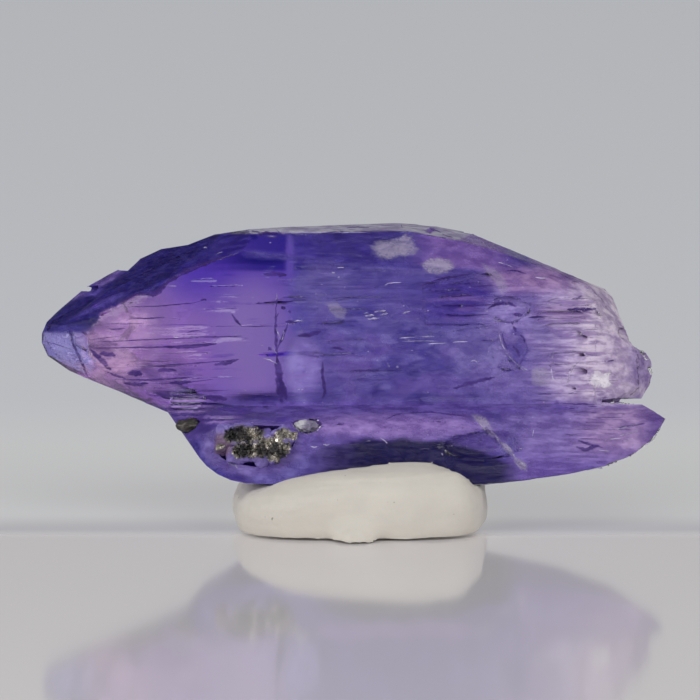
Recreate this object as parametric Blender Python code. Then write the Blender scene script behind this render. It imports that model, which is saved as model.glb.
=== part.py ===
"""A rough tanzanite crystal on the pad of white mounting putty that holds it up.

The stone is two crystals grown together side by side: a tall, thin one that leans back, with a chisel
tip on its left, and a lower one in front of it, whose keel is pressed into the putty. Etch channels
run along both, the right end is broken into a lobe and a horn with a notch between them, and grains of
other minerals sit in pits low on the left.

Corners are read off the stone as it is seen from the front and a little above, in mm: how far right
of its middle they are, how high they are seen, and how deep they lie behind the putty's front.
"""

import math
import random

import bpy
import bmesh
from mathutils import Matrix, Vector, noise

MM = 0.001
VIEW_TILT = math.radians(9.0)       # how far above level the stone is looked at
DEPTH_MIDDLE = 5.7                  # about half the depth of the whole

FACE_FOOT_UP, FACE_FOOT_DEEP = 5.9, 5.5       # where the tall front face starts, above the front crystal
FACE_LEAN = 0.33                    # how much deeper the tall front face lies for each mm seen higher
BACK_FOOT_UP, BACK_FOOT_DEEP = 6.4, 10.3      # the same for the back face, seen as if through the stone
BACK_LEAN = 0.3

PAD_WIDTH, PAD_DEPTH, PAD_HEIGHT = 10.8, 9.5, 3.15
PAD_RIGHT, PAD_MIDDLE_DEEP = 0.3, 4.75       # where the pad's middle is
PAD_PLAN, PAD_PROFILE = 3.8, 2.7    # 2 makes the pad round from above or from the front, more squarer
PAD_SINK = 1.35                     # how far below the floor the pad's round shape would go on
PAD_DROOP = 1.3                     # how much lower its top is at its left end
PAD_FOOT = (1.15, 1.1, 0.75)        # half the size of the bit squeezed out in front at the floor
PAD_RISE = 0.3                      # how much higher it is at its right end
PAD_WAVE, PAD_WAVES_PER_MM = 0.2, 0.45        # how far and how closely the kneading has dented it
PAD_FOOT_DEEP = 0.4
PAD_RINGS, PAD_STEPS = 22, 44
SEAT_GAP = 0.03                     # left between the stone and whatever touches it

LUMP_CORNERS = 22
BREAK_SEED = 3
END_CHANNEL_UPS = (6.45, 7.2, 7.9, 8.75, 9.6)  # how high the deep channels of the broken end are seen
CHANNEL_SEED = 15
BACK_CHANNELS = 12
BACK_TERRACE_SUNK = 0.28            # how much lower the terrace on the back face is
PANEL_SUNK = 0.2                    # how deep the sunk panel in the tall front face is
CHANNEL_OUT = 0.3                   # how far the bodies that cut the channels stand out of the face
GRAIN_SEED = 5


def at(right, up, deep):
    """A point read off the front view, in metres in the part's own frame."""
    height = (up - deep * math.sin(VIEW_TILT)) / math.cos(VIEW_TILT)
    return Vector((right, deep - DEPTH_MIDDLE, height)) * MM


def on_face(right, up, out=0.0):
    """A point on the tall front face, or out in front of it by some mm."""
    return at(right, up, FACE_FOOT_DEEP + FACE_LEAN * (up - FACE_FOOT_UP) - out)


def on_back(right, up, out=0.0):
    """A point on the back face, or out behind it by some mm."""
    return at(right, up, BACK_FOOT_DEEP + BACK_LEAN * (up - BACK_FOOT_UP) + out)


def new_collection(name, shown, parent=None):
    collection = bpy.data.collections.new(name)
    collection.hide_render = not shown
    (parent or bpy.context.scene.collection).children.link(collection)
    return collection


def add_object(name, bm, collection):
    bmesh.ops.recalc_face_normals(bm, faces=bm.faces)
    mesh = bpy.data.meshes.new(name)
    bm.to_mesh(mesh)
    bm.free()
    obj = bpy.data.objects.new(name, mesh)
    collection.objects.link(obj)
    if collection.hide_render:
        obj.hide_render = True
        obj.display_type = "WIRE"
    return obj


def grown(points, by):
    """The corners of the solid that has this much room around the solid with the given corners."""
    offsets = [Vector(axis) * by * MM * sign for axis in Matrix.Identity(3) for sign in (1, -1)]
    return [point + offset for point in points for offset in offsets]


def hull(name, points, collection):
    """The convex solid with these corners."""
    bm = bmesh.new()
    for point in points:
        bm.verts.new(point)
    made = bmesh.ops.convex_hull(bm, input=bm.verts)
    inner = {item for item in made["geom_interior"] if isinstance(item, bmesh.types.BMVert)}
    bmesh.ops.delete(bm, geom=list(inner), context="VERTS")
    bmesh.ops.dissolve_limit(bm, angle_limit=math.radians(0.5), verts=bm.verts, edges=bm.edges)
    return add_object(name, bm, collection)


def combine(target, other, operation):
    """Applies one Boolean, so that the next one works on its result."""
    modifier = target.modifiers.new(operation.lower(), "BOOLEAN")
    modifier.operation = operation
    modifier.solver = "EXACT"
    if isinstance(other, bpy.types.Collection):
        modifier.operand_type = "COLLECTION"
        modifier.collection = other
    else:
        modifier.object = other
    graph = bpy.context.evaluated_depsgraph_get()
    mesh = bpy.data.meshes.new_from_object(target.evaluated_get(graph))
    target.modifiers.clear()
    target.data = mesh


def material(name, colour, roughness, metallic=0.0, transmission=0.0, ior=1.5):
    made = bpy.data.materials.new(name)
    made.use_nodes = True
    shader = made.node_tree.nodes["Principled BSDF"]
    shader.inputs["Base Color"].default_value = (*colour, 1.0)
    shader.inputs["Roughness"].default_value = roughness
    shader.inputs["Metallic"].default_value = metallic
    shader.inputs["Transmission Weight"].default_value = transmission
    shader.inputs["IOR"].default_value = ior
    return made


def paint(obj, made):
    obj.data.materials.clear()
    obj.data.materials.append(made)


# The two grown-together crystals

def tall_crystal(collection):
    """The tall, thin crystal that leans back: its tip is at the left, its broken end at the right."""
    tip = [
        # Its pale facet
        at(-13.1, 8.69, 7.6), at(-13.1, 8.32, 7.5), at(-12.26, 9.03, 6.85), on_face(-10.71, 7.27),
        at(-12.85, 7.77, 7.5),
        # The narrow ones beside it and under it
        on_face(-11.3, 8.53), on_face(-10.21, 7.48), at(-12.43, 7.48, 7.5), at(-11.93, 7.14, 7.2),
        at(-11.13, 6.8, 7.0), at(-10.21, 6.55, 6.8),
        # The lower edge, down to where the front crystal hides it
        on_face(-9.79, 7.01), on_face(-7.9, 5.92), at(-9.37, 6.22, 6.5), at(-8.44, 5.75, 6.1),
        at(-7.64, 5.33, 5.8), at(-6.85, 5.0, 5.7),
    ]
    left_bevel = [
        on_face(-10.63, 9.45), on_face(-8.32, 10.63), on_face(-7.01, 11.38), on_face(-4.66, 12.18),
        at(-12.89, 9.2, 7.9), at(-12.43, 9.66, 8.5), at(-11.3, 10.63, 9.2), at(-10.29, 11.21, 9.5),
        at(-9.03, 11.84, 9.6),
        at(-8.02, 12.31, 9.6), at(-6.97, 12.52, 9.5), at(-5.84, 12.89, 9.4), at(-4.41, 13.1, 9.2),
    ]
    top = [
        # The bevel under the ledge
        on_face(-4.07, 11.34), on_face(2.06, 11.47), on_face(6.17, 11.13), on_face(8.69, 10.29),
        # The ledge's front edge, and its back edge
        at(-4.24, 12.89, 8.4), at(-3.07, 12.71, 8.6), at(2.31, 13.02, 8.8), at(4.41, 12.64, 8.6),
        at(6.09, 12.18, 8.4),
        at(8.82, 11.21, 8.2), at(10.04, 10.67, 8.0),
        at(-2.6, 13.23, 11.3), at(-0.34, 13.31, 11.4), at(1.97, 13.4, 11.5), at(3.57, 13.25, 11.2),
        at(5.04, 12.94, 11.0), at(6.8, 12.22, 10.5), at(8.4, 11.57, 10.2), at(10.67, 10.61, 9.6),
    ]
    broken_end = [
        at(10.96, 10.29, 9.3), at(11.21, 9.62, 8.9), at(11.72, 8.27, 8.2), at(12.26, 7.94, 8.1),
        at(12.6, 7.52, 8.0),
        at(12.64, 7.06, 7.9), at(12.52, 6.51, 7.7), at(12.1, 5.84, 7.1),
        on_face(10.29, 10.04, 0.1), on_face(10.63, 8.44), on_face(10.79, 7.1), on_face(10.21, 5.59),
        at(11.93, 7.94, 7.0), at(12.05, 6.43, 6.6),
    ]
    back = [
        on_back(-8.53, 10.84, -1.4), on_back(-6.85, 11.72, -0.9), on_back(-4.33, 12.43, -0.4),
        on_back(-0.97, 12.52), on_back(3.23, 12.52), on_back(7.01, 11.47, -0.3),
        on_back(9.74, 9.7, -1.0), on_back(10.88, 8.02, -1.5),
        at(-11.47, 8.86, 8.9), at(-10.21, 8.23, 9.7), at(-8.53, 7.18, 10.1), at(-6.22, 5.59, 10.1),
        on_back(-2.23, 4.66, 0.1), on_back(6.17, 4.66, 0.1), on_back(9.74, 5.42, -0.6),
        # Its foot, inside and behind the front crystal
        on_face(-5.17, 5.08), on_face(7.85, 5.08), at(-4.96, 4.58, 7.8), at(-2.23, 3.99, 8.6),
        at(6.17, 3.99, 8.6), at(9.53, 4.66, 7.6),
    ]
    return hull("tanzanite_crystal", tip + left_bevel + top + broken_end + back, collection)


def front_crystal_corners():
    """The corners of the lower crystal in front, with its keel in the putty and its horn at the right."""
    heel = [
        at(-7.85, 5.5, 5.6), at(-7.6, 5.29, 5.0), at(-7.39, 4.87, 4.6), at(-6.85, 4.2, 3.4),
        at(-6.43, 3.49, 2.9),
        at(-6.13, 3.15, 2.6), at(-5.67, 2.81, 2.3), at(-5.12, 2.56, 2.15),
    ]
    keel = [
        at(-4.41, 2.42, 2.05), at(-0.13, 2.31, 1.9), at(5.63, 2.37, 2.2), at(6.8, 2.46, 2.4),
        at(9.2, 2.81, 2.6),
        at(10.46, 3.07, 2.7), at(11.68, 3.57, 3.1), at(12.6, 4.2, 3.7), at(13.15, 5.08, 4.45),
        at(13.15, 5.17, 4.5),
    ]
    upper_edge = [
        at(11.89, 5.88, 5.6), at(12.73, 5.42, 4.75), on_face(10.29, 5.71, 0.1),
        on_face(3.65, 5.63, 0.1), on_face(-6.43, 5.63, 0.1),
    ]
    front_ridge = [
        at(-6.13, 4.62, 3.0), at(-4.91, 4.91, 2.75), at(-2.65, 4.87, 2.7), at(-0.55, 4.45, 3.1),
        at(4.91, 4.37, 3.4),
        at(8.69, 4.49, 3.5), at(11.0, 4.75, 3.8),
    ]
    underside = [
        at(-4.91, 2.98, 6.5), at(-3.82, 2.73, 7.6), at(5.33, 2.81, 7.8), at(8.69, 3.4, 7.4),
        at(10.79, 3.99, 6.8),
        at(-6.22, 4.03, 7.2), at(-4.75, 4.16, 9.2), at(6.17, 4.16, 9.3), at(9.95, 4.66, 8.2),
        at(12.26, 4.87, 6.0),
    ]
    return heel + keel + upper_edge + front_ridge + underside


# Growth steps, channels, pits and breaks

def rod(name, start, end, radius, collection):
    """A six-sided growth rod that lies along the stone."""
    along = (end - start).normalized()
    side = along.cross(Vector((0, 0, 1))).normalized() * radius * MM
    points = []
    for index in range(6):
        offset = Matrix.Rotation(math.radians(60 * index + 30), 3, along) @ side
        points += [start + offset, end + offset * 0.7]
    return hull(name, points, collection)


def add_rods(stone, collection):
    """Adds the rods that stand out where the two crystals meet at the left."""
    for index, (start, end, radius) in enumerate((
        (on_face(-7.64, 6.01), on_face(-6.22, 6.01), 0.15),
        (on_face(-7.64, 5.67), on_face(-6.38, 5.67), 0.14),
        (at(-6.09, 5.08, 4.1), at(-4.79, 5.08, 4.0), 0.16),
    )):
        combine(stone, rod(f"rod_{index}", start, end, radius, collection), "UNION")


def lump_corners(rng, centre, radii, count):
    """Corners spread evenly over an uneven ball."""
    corners = []
    for index in range(count):
        lean = math.asin(2 * (index + 0.5) / count - 1)
        turn = index * math.radians(137.5) + rng.uniform(-0.2, 0.2)
        away = Vector((math.cos(turn) * math.cos(lean), math.sin(turn) * math.cos(lean), math.sin(lean)))
        corners.append(centre + Vector([a * r * rng.uniform(0.85, 1.1) for a, r in zip(away, radii)]) * MM)
    return corners


def cut_breaks(stone, collection):
    """Chips the edges, opens the notch under the lobe, and breaks pits and channels into the right end."""
    through = (3.0, 12.5)
    shoulder = ((11.0, 10.29), (11.3, 9.37), (11.76, 8.23), (12.35, 7.92), (13.4, 8.19), (12.05, 10.63))
    left_chip = ((-9.87, 11.38), (-9.49, 11.36), (-8.99, 11.84), (-9.11, 12.22), (-10.12, 11.72))
    top_chip = ((-8.19, 12.26), (-6.97, 12.45), (-5.84, 12.89), (-6.17, 13.23), (-8.11, 12.73))
    for name, outline in (("shoulder", shoulder), ("left_chip", left_chip), ("top_chip", top_chip)):
        hull(name, [at(right, up, deep) for right, up in outline for deep in through], collection)
    hull("lobe_notch", [
        at(10.37, 5.88, 6.6), at(10.63, 5.92, 4.6), at(10.63, 5.8, 4.6), at(12.56, 5.96, 4.0),
        at(12.56, 5.75, 4.0),
        at(12.05, 5.92, 9.5), at(12.05, 5.78, 9.5), at(12.73, 5.92, 9.0), at(12.73, 5.67, 9.0),
    ], collection)
    mouth = ((2.81, 10.67), (3.95, 11.09), (5.88, 11.34), (6.09, 9.11), (2.98, 9.07))
    floor = ((2.94, 10.58), (3.99, 10.96), (5.75, 11.21), (5.96, 9.2), (3.11, 9.16))
    hull("sunk_panel", [
        on_face(right, up, out) for outline, out in ((mouth, CHANNEL_OUT), (floor, -PANEL_SUNK))
        for right, up in outline
    ], collection)
    rng = random.Random(BREAK_SEED)
    for name, centre, radii in (
        ("pit", on_face(6.47, 9.74, 0.1), (0.9, 0.6, 0.55)),
        ("scoop", on_face(6.59, 8.15, 0.45), (0.85, 1.0, 1.05)),
        ("heel_scoop", at(5.42, 3.99, 2.9), (1.9, 0.7, 0.6)),
        ("ledge_nick_left", at(-3.4, 12.89, 8.5), (0.45, 0.25, 0.14)),
        ("ledge_nick", at(0.17, 13.15, 9.4), (0.55, 0.6, 0.14)),
        ("ledge_nick_right", at(3.44, 13.02, 9.8), (0.35, 0.6, 0.14)),
        ("tip_chip", at(-10.96, 10.54, 8.9), (0.7, 0.5, 0.2)),
        ("back_chip", on_back(8.69, 10.54, 0.1), (1.3, 0.7, 1.0)),
        ("back_tip_chip", at(-10.0, 8.86, 10.0), (1.0, 0.6, 0.8)),
    ):
        hull(name, lump_corners(rng, centre, radii, LUMP_CORNERS), collection)
    terrace = ((-0.97, 11.72), (8.69, 11.72), (12.47, 8.86), (12.05, 5.92), (2.81, 7.94))
    hull("back_terrace", [
        on_back(right, up, out) for right, up in terrace for out in (-BACK_TERRACE_SUNK, 1.5)
    ], collection)
    for index, up in enumerate(END_CHANNEL_UPS):
        inner = on_face(rng.uniform(8.6, 9.8), up, 0.1)
        outer = at(13.3, up + rng.uniform(-0.1, 0.1), 8.5)
        half_height, bite = rng.uniform(0.05, 0.1), rng.uniform(0.25, 0.45)
        sliver(f"end_channel_{index}", inner, outer, half_height, bite, collection)
    combine(stone, collection, "DIFFERENCE")


def sliver(name, start, end, half_height, bite, collection, facing=-1):
    """A long thin body across a face, thickest at its middle, that leaves a channel when it's cut away."""
    along = end - start
    up = Vector((0, 0, 1)) * half_height * MM
    front = Vector((0, facing, 0.3 * facing)).normalized() * MM
    points = [start + front * CHANNEL_OUT / 2, end + front * CHANNEL_OUT / 2]
    for share in (0.2, 0.75):
        centre = start + along * share
        mouth = centre + front * CHANNEL_OUT
        points += [mouth + up * 2, mouth - up * 2, centre - front * bite]
    return hull(name, points, collection)


def cut_channels(stone, collection):
    """Etches the tall front face: long and fine in its clear left, short and rough at its right."""
    rng = random.Random(CHANNEL_SEED)
    zones = (
        # right from, right to, up from, up to, count, lengths, half heights, bites
        (-10.2, -3.5, 6.3, 9.4, 12, (1.6, 4.0), (0.03, 0.07), (0.08, 0.2)),
        (-7.0, -3.6, 9.6, 11.2, 4, (1.2, 2.4), (0.03, 0.05), (0.05, 0.12)),
        (-2.0, 2.6, 6.4, 11.0, 8, (1.0, 3.0), (0.03, 0.06), (0.05, 0.12)),
        (3.0, 6.0, 9.2, 10.9, 5, (1.4, 2.4), (0.04, 0.07), (0.24, 0.34)),
        (7.6, 10.6, 6.3, 10.2, 14, (1.0, 2.6), (0.06, 0.13), (0.12, 0.32)),
    )
    for zone, (left, right, low, high, count, lengths, heights, bites) in enumerate(zones):
        for index in range(count):
            length = rng.uniform(*lengths)
            start = rng.uniform(left, max(left, right - length))
            up = low + (high - low) * (index + rng.uniform(0.2, 0.8)) / count
            rise = rng.uniform(0.0, 0.04) * length
            sliver(
                f"channel_{zone}_{index}", on_face(start, up), on_face(start + length, up + rise),
                rng.uniform(*heights), rng.uniform(*bites), collection,
            )
    for index in range(BACK_CHANNELS):
        length = rng.uniform(1.5, 4.5)
        start = rng.uniform(-8.0, 10.0 - length)
        up = rng.uniform(6.2, 11.6)
        sliver(
            f"back_channel_{index}", on_back(start, up), on_back(start + length, up),
            rng.uniform(0.04, 0.1), rng.uniform(0.1, 0.25), collection, facing=1,
        )
    combine(stone, collection, "DIFFERENCE")


# Grains of other minerals

def cube_corners(rng, centre, size):
    """The corners of a cube, turned any way."""
    roll = Matrix.Rotation(rng.uniform(0, math.tau), 3, "X")
    turn = Matrix.Rotation(rng.uniform(0, math.tau), 3, "Y")
    signs = [Vector((x, y, z)) for x in (-1, 1) for y in (-1, 1) for z in (-1, 1)]
    return [centre + roll @ turn @ sign * size * MM / 2 for sign in signs]


def build_grains(parts, cutters, stone):
    """Sets each grain in its own pit in the stone, with a hair of room around it."""
    rng = random.Random(GRAIN_SEED)
    cubes = [
        cube_corners(rng, centre, size) for centre, size in (
            (at(-5.25, 4.24, 2.75), 0.85), (at(-4.58, 4.37, 2.6), 0.8),
            (at(-4.49, 3.82, 2.5), 0.75), (at(-3.86, 4.07, 2.6), 0.9),
            (at(-3.32, 3.91, 2.6), 0.95), (at(-2.9, 4.24, 2.8), 0.7),
            (at(-4.91, 3.65, 2.5), 0.6), (at(-3.82, 3.61, 2.45), 0.6),
        )
    ]
    pyrite = hull("pyrite_cluster", cubes[0], parts)
    for index, corners in enumerate(cubes[1:]):
        combine(pyrite, hull(f"pyrite_cube_{index}", corners, cutters), "UNION")
    paint(pyrite, material("pyrite", (0.52, 0.42, 0.26), 0.3, 1.0))

    graphite_corners = lump_corners(rng, at(-6.89, 4.87, 4.05), (0.62, 0.5, 0.38), LUMP_CORNERS)
    graphite = hull("graphite_grain", graphite_corners, parts)
    paint(graphite, material("graphite", (0.06, 0.06, 0.065), 0.45, 0.3))

    white_corners = lump_corners(rng, at(-1.97, 4.83, 3.0), (0.62, 0.45, 0.36), LUMP_CORNERS)
    white = hull("white_grain", white_corners, parts)
    paint(white, material("white_mineral", (0.42, 0.4, 0.48), 0.5))

    pits = new_collection("grain_pits", False, cutters)
    hull("pyrite_pit", grown([corner for corners in cubes for corner in corners], SEAT_GAP), pits)
    hull("graphite_pit", grown(graphite_corners, SEAT_GAP), pits)
    hull("white_pit", grown(white_corners, SEAT_GAP), pits)
    combine(stone, pits, "DIFFERENCE")


def build_stone(parts, cutters):
    stone = tall_crystal(parts)
    combine(stone, hull("front_crystal", front_crystal_corners(), cutters), "UNION")
    add_rods(stone, cutters)
    cut_breaks(stone, new_collection("breaks", False, cutters))
    cut_channels(stone, new_collection("channels", False, cutters))
    paint(stone, material("tanzanite", (0.42, 0.28, 0.78), 0.04, 0.0, 1.0, 1.69))
    return stone


# The putty

def rounded(share, power):
    """Takes a point of a unit circle towards the matching point of a unit square."""
    return math.copysign(abs(share) ** (2.0 / power), share)


def build_pad(parts, cutters, seat):
    """Makes the kneaded pad: a squared-off ball cut flat underneath, with the stone pressed into it."""
    bm = bmesh.new()
    bmesh.ops.create_uvsphere(bm, u_segments=PAD_STEPS, v_segments=PAD_RINGS, radius=1.0)
    half_height = (PAD_HEIGHT + PAD_SINK) / 2
    for vert in bm.verts:
        flat = math.hypot(vert.co.x, vert.co.y)
        turn = math.atan2(vert.co.y, vert.co.x)
        ring = rounded(flat, PAD_PROFILE)
        shaped = Vector((
            rounded(math.cos(turn), PAD_PLAN) * ring * PAD_WIDTH / 2,
            rounded(math.sin(turn), PAD_PLAN) * ring * PAD_DEPTH / 2,
            half_height - PAD_SINK + rounded(vert.co.z, PAD_PROFILE) * half_height,
        ))
        leftward = min(max(0.5 - shaped.x / PAD_WIDTH, 0.0), 1.0)
        rightward = 1 - leftward
        shaped.z -= (PAD_DROOP * leftward ** 3 - PAD_RISE * rightward ** 3) * max(vert.co.z, 0.0)
        shaped += noise.noise_vector(shaped * PAD_WAVES_PER_MM) * PAD_WAVE
        vert.co = (shaped + Vector((PAD_RIGHT, PAD_MIDDLE_DEEP - DEPTH_MIDDLE, 0.0))) * MM
    pad = add_object("putty_pad", bm, parts)
    foot_middle = at(0.0, 0.0, PAD_FOOT_DEEP)
    foot = hull("pad_foot", lump_corners(random.Random(GRAIN_SEED), foot_middle, PAD_FOOT, 60), cutters)
    combine(pad, foot, "UNION")
    bm = bmesh.new()
    bm.from_mesh(pad.data)
    cut = bmesh.ops.bisect_plane(
        bm, geom=bm.verts[:] + bm.edges[:] + bm.faces[:], plane_co=(0, 0, 0), plane_no=(0, 0, -1),
        clear_outer=True,
    )
    bmesh.ops.contextual_create(bm, geom=[e for e in cut["geom_cut"] if isinstance(e, bmesh.types.BMEdge)])
    bm.to_mesh(pad.data)
    bm.free()
    combine(pad, seat, "DIFFERENCE")
    paint(pad, material("putty", (0.63, 0.59, 0.53), 0.7))
    return pad


def stand_on_origin(parts):
    """Moves everything so that the origin is under the middle of the whole, at floor height."""
    corners = [vert.co for obj in parts.objects for vert in obj.data.vertices]
    low = Vector([min(corner[axis] for corner in corners) for axis in range(3)])
    high = Vector([max(corner[axis] for corner in corners) for axis in range(3)])
    shift = Vector((-(low.x + high.x) / 2, -(low.y + high.y) / 2, -low.z))
    for obj in parts.objects:
        obj.data.transform(Matrix.Translation(shift))


def clear_scene():
    for obj in list(bpy.data.objects):
        bpy.data.objects.remove(obj, do_unlink=True)


def main():
    clear_scene()
    parts = new_collection("rough_tanzanite", shown=True)
    cutters = new_collection("cutters", shown=False)
    stone = build_stone(parts, cutters)
    build_grains(parts, cutters, stone)
    seat = hull("pad_seat", grown(front_crystal_corners(), SEAT_GAP), cutters)
    build_pad(parts, cutters, seat)
    stand_on_origin(parts)


main()
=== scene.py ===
"""The looks of the rough tanzanite: crystal, what is grown into it, its putty pad and a small light tent.

Sizes are in metres and in the CAD's own frame, unless a name says otherwise. Marks on the stone are placed
on squared paper laid over its front view: so many squares from the left edge, and so many down from the top.
"""

import math
import random

import bmesh
import bpy
import numpy as np
from bpy.props import FloatProperty, FloatVectorProperty, IntProperty, PointerProperty
from bpy.types import Operator, Panel, PropertyGroup
from mathutils import Matrix, Vector, noise
from mathutils.bvhtree import BVHTree


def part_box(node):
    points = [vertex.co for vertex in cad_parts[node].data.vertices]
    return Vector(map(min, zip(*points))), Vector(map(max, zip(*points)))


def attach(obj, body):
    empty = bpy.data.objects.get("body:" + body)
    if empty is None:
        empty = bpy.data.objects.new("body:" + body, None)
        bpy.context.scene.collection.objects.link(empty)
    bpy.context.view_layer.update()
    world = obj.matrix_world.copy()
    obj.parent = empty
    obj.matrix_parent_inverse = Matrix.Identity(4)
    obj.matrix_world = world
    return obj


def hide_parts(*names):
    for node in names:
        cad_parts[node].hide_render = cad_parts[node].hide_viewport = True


bl_info = {
    "name": "Rough Tanzanite",
    "version": (1, 0, 0),
    "blender": (4, 5, 0),
    "location": "View3D > Sidebar > Tanzanite",
    "description": "Dresses a rough tanzanite crystal on its putty pad and lights it in a light tent",
    "category": "Object",
}

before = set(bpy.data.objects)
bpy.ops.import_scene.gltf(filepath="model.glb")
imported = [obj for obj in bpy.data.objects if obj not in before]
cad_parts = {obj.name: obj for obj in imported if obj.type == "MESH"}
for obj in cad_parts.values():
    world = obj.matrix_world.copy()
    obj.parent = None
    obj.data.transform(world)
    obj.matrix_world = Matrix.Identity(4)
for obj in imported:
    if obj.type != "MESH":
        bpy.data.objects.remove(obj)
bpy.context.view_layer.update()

MM = 0.001
VIEW_TILT = math.radians(9.0)
FRONT_FOOT = -5.73 * MM             # where the putty's front touches the floor, along Y
TO_CAMERA = Vector((0.0, -math.cos(VIEW_TILT), math.sin(VIEW_TILT)))
SQUARE = 0.042 * MM                 # the squared paper
MIDDLE_SQUARE, FOOT_SQUARE = 353.6, 541.0

CELL_LONG = 0.3 * MM                # the crystal's mesh cells along X, Y and Z
CELL_DEEP = 0.3 * MM
CELL_HIGH = 0.06 * MM

STONE_LEAN = 0.35                   # how far the stone leans back for each mm up, and the middle of its depth
STONE_MIDDLE = -0.9 * MM
RAY_START = 0.05                    # rays that look for the stone's surface start this far in front
MARK_SINK = 0.02 * MM               # how deep the marks reach into the stone
SKIN_STEP = 0.003 * MM              # from the stone to the skin, and through the skin
BARE_SHARE = 0.02                   # stone with less haze than this has no skin
CRYSTAL_CREASE = math.radians(26)   # edges sharper than this are shaded sharp
GRAIN_CREASE = math.radians(32)

FIBRES_IN_FIELD = 20                # how many small things are strewn at random
GLINT_SPECKS = 170
PYRITE_CUBES = 700

CAMERA_TARGET = Vector((-0.151, 0.0, 7.215)) * MM
CAMERA_DISTANCE = 1.0
FLOOR_TURN = (-4.9, -2.4)           # where the glossy floor turns into matte paper, in mm along Y


# Settings that a user would change

def colour(name, about, default):
    return FloatVectorProperty(
        name=name, description=about, default=default, subtype="COLOR", size=3, min=0.0, max=1.0,
    )


class CrystalSettings(PropertyGroup):
    body: colour("Body colour", "Colour that light takes on inside the stone", (0.62, 0.0, 0.86))
    density: FloatProperty(
        name="Body density", description="How strongly the stone absorbs light, per metre",
        default=250.0, min=0.0, max=1000.0,
    )
    ior: FloatProperty(
        name="IOR", description="Index of refraction of zoisite", default=1.69, min=1.0, max=3.0,
    )
    pink: colour("Pink lilac", "Tint of the clear left end", (1.0, 0.92, 1.0))
    violet: colour("Violet", "Tint of the clear window", (0.62, 0.66, 1.0))
    # The dark bevels' tint is partly the stone's deep colour and partly painted shade
    indigo_and_shade: colour("Indigo", "Tint of the dark bevels", (0.05, 0.05, 0.42))
    blue: colour("Blue violet", "Tint of the hazy middle", (0.38, 0.60, 0.95))
    # The chisel tip's light blue is a painted reflection of the bright left side
    tip_sheen_blue: colour("Ice blue", "Tint of the chisel tip", (0.85, 1.0, 1.0))
    seed: IntProperty(name="Seed", description="Changes the fine growth lines", default=4, min=0)


class MarkSettings(PropertyGroup):
    frost: colour("Frost", "Colour of bruised and frosted stone", (0.54, 0.47, 0.66))
    # The tip sheen is a painted reflection of the bright left side
    tip_sheen_blue: colour("Tip sheen", "Light blue sheen of the chisel tip", (0.50, 0.46, 0.86))
    etch: colour("Etch marks", "Colour of the etch marks", (0.045, 0.022, 0.15))
    # The glints are healed cracks painted bright as highlights
    glint: colour("Glints", "Colour of the bright healed cracks", (0.66, 0.61, 0.84))


class GrainSettings(PropertyGroup):
    pyrite: colour("Pyrite", "Pale brass of the pyrite", (0.66, 0.61, 0.54))
    graphite: colour("Graphite", "Dull grey of the graphite", (0.06, 0.053, 0.05))
    milky: colour("Milky grain", "Colour of the milky grain", (0.42, 0.40, 0.46))


class PuttySettings(PropertyGroup):
    cream: colour("Putty colour", "Cream white of the kneaded putty", (0.67, 0.63, 0.565))
    cell: FloatProperty(
        name="Mesh size", description="Size of the putty's mesh cells",
        default=0.1 * MM, min=0.02 * MM, max=1 * MM, unit="LENGTH", precision=5,
    )


class StageSettings(PropertyGroup):
    floor: colour("Floor", "Colour of the glossy floor", (0.83, 0.80, 0.81))
    paper: colour("Backdrop", "Colour of the softly lit paper behind the stone", (0.456, 0.467, 0.493))
    gloom: FloatProperty(
        name="Gloom", description="Even light from overhead and in front", default=0.07, min=0.0,
    )
    key: FloatProperty(
        name="Side lights", description="Power of the soft panels left and right", default=0.62, min=0.0,
        unit="POWER",
    )
    view_width: FloatProperty(
        name="View width", description="Width of the picture at the stone",
        default=29.4 * MM, min=1 * MM, unit="LENGTH", precision=5,
    )


class TanzaniteSettings(PropertyGroup):
    crystal: PointerProperty(type=CrystalSettings)
    marks: PointerProperty(type=MarkSettings)
    grains: PointerProperty(type=GrainSettings)
    putty: PointerProperty(type=PuttySettings)
    stage: PointerProperty(type=StageSettings)


# Small helpers

def smooth(low, high, value):
    """0 below low, 1 above high, and an easy curve between them, for numbers and arrays alike."""
    share = np.clip((value - low) / (high - low), 0.0, 1.0)
    return share * share * (3.0 - 2.0 * share)


def blob(right, down, middle, size, soft=0.35):
    """1 inside an ellipse on the squared paper and 0 outside it, with a soft border."""
    away = np.hypot((right - middle[0]) / size[0], (down - middle[1]) / size[1])
    return 1.0 - smooth(1.0 - soft, 1.0 + soft, away)


def squares(points):
    """Where points lie on the squared paper, right and down."""
    up = points[:, 2] * math.cos(VIEW_TILT) + (points[:, 1] - FRONT_FOOT) * math.sin(VIEW_TILT)
    return points[:, 0] / SQUARE + MIDDLE_SQUARE, FOOT_SQUARE - up / SQUARE


def noise_at(points, scale, seed=0.0):
    """Noise at many points, with its own number of waves per mm along each axis."""
    offset = Vector((seed * 17.3, seed * 5.1, seed * 9.7))
    factors = np.array(scale) / MM
    return np.array([noise.noise(Vector(p) + offset) for p in points * factors])


def new_object(name, bm):
    """A new mesh object in the scene, from a bmesh that is freed."""
    mesh = bpy.data.meshes.new(name)
    bm.to_mesh(mesh)
    bm.free()
    obj = bpy.data.objects.new(name, mesh)
    bpy.context.scene.collection.objects.link(obj)
    return obj


def read_vectors(mesh, kind):
    """The places or normals of a mesh's points, one row each."""
    values = np.zeros(len(mesh.vertices) * 3)
    mesh.vertices.foreach_get(kind, values)
    return values.reshape(-1, 3)


def store(mesh, name, values):
    """Keeps one number for each point, for a material to read."""
    attribute = mesh.attributes.new(name, "FLOAT", "POINT")
    attribute.data.foreach_set("value", np.asarray(values, dtype=np.float32))


def store_colour(mesh, name, values):
    """Keeps one colour for each point, for a material to read."""
    attribute = mesh.attributes.new(name, "FLOAT_COLOR", "POINT")
    full = np.ones((len(values), 4), dtype=np.float32)
    full[:, :3] = values
    attribute.data.foreach_set("color", full.ravel())


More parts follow.
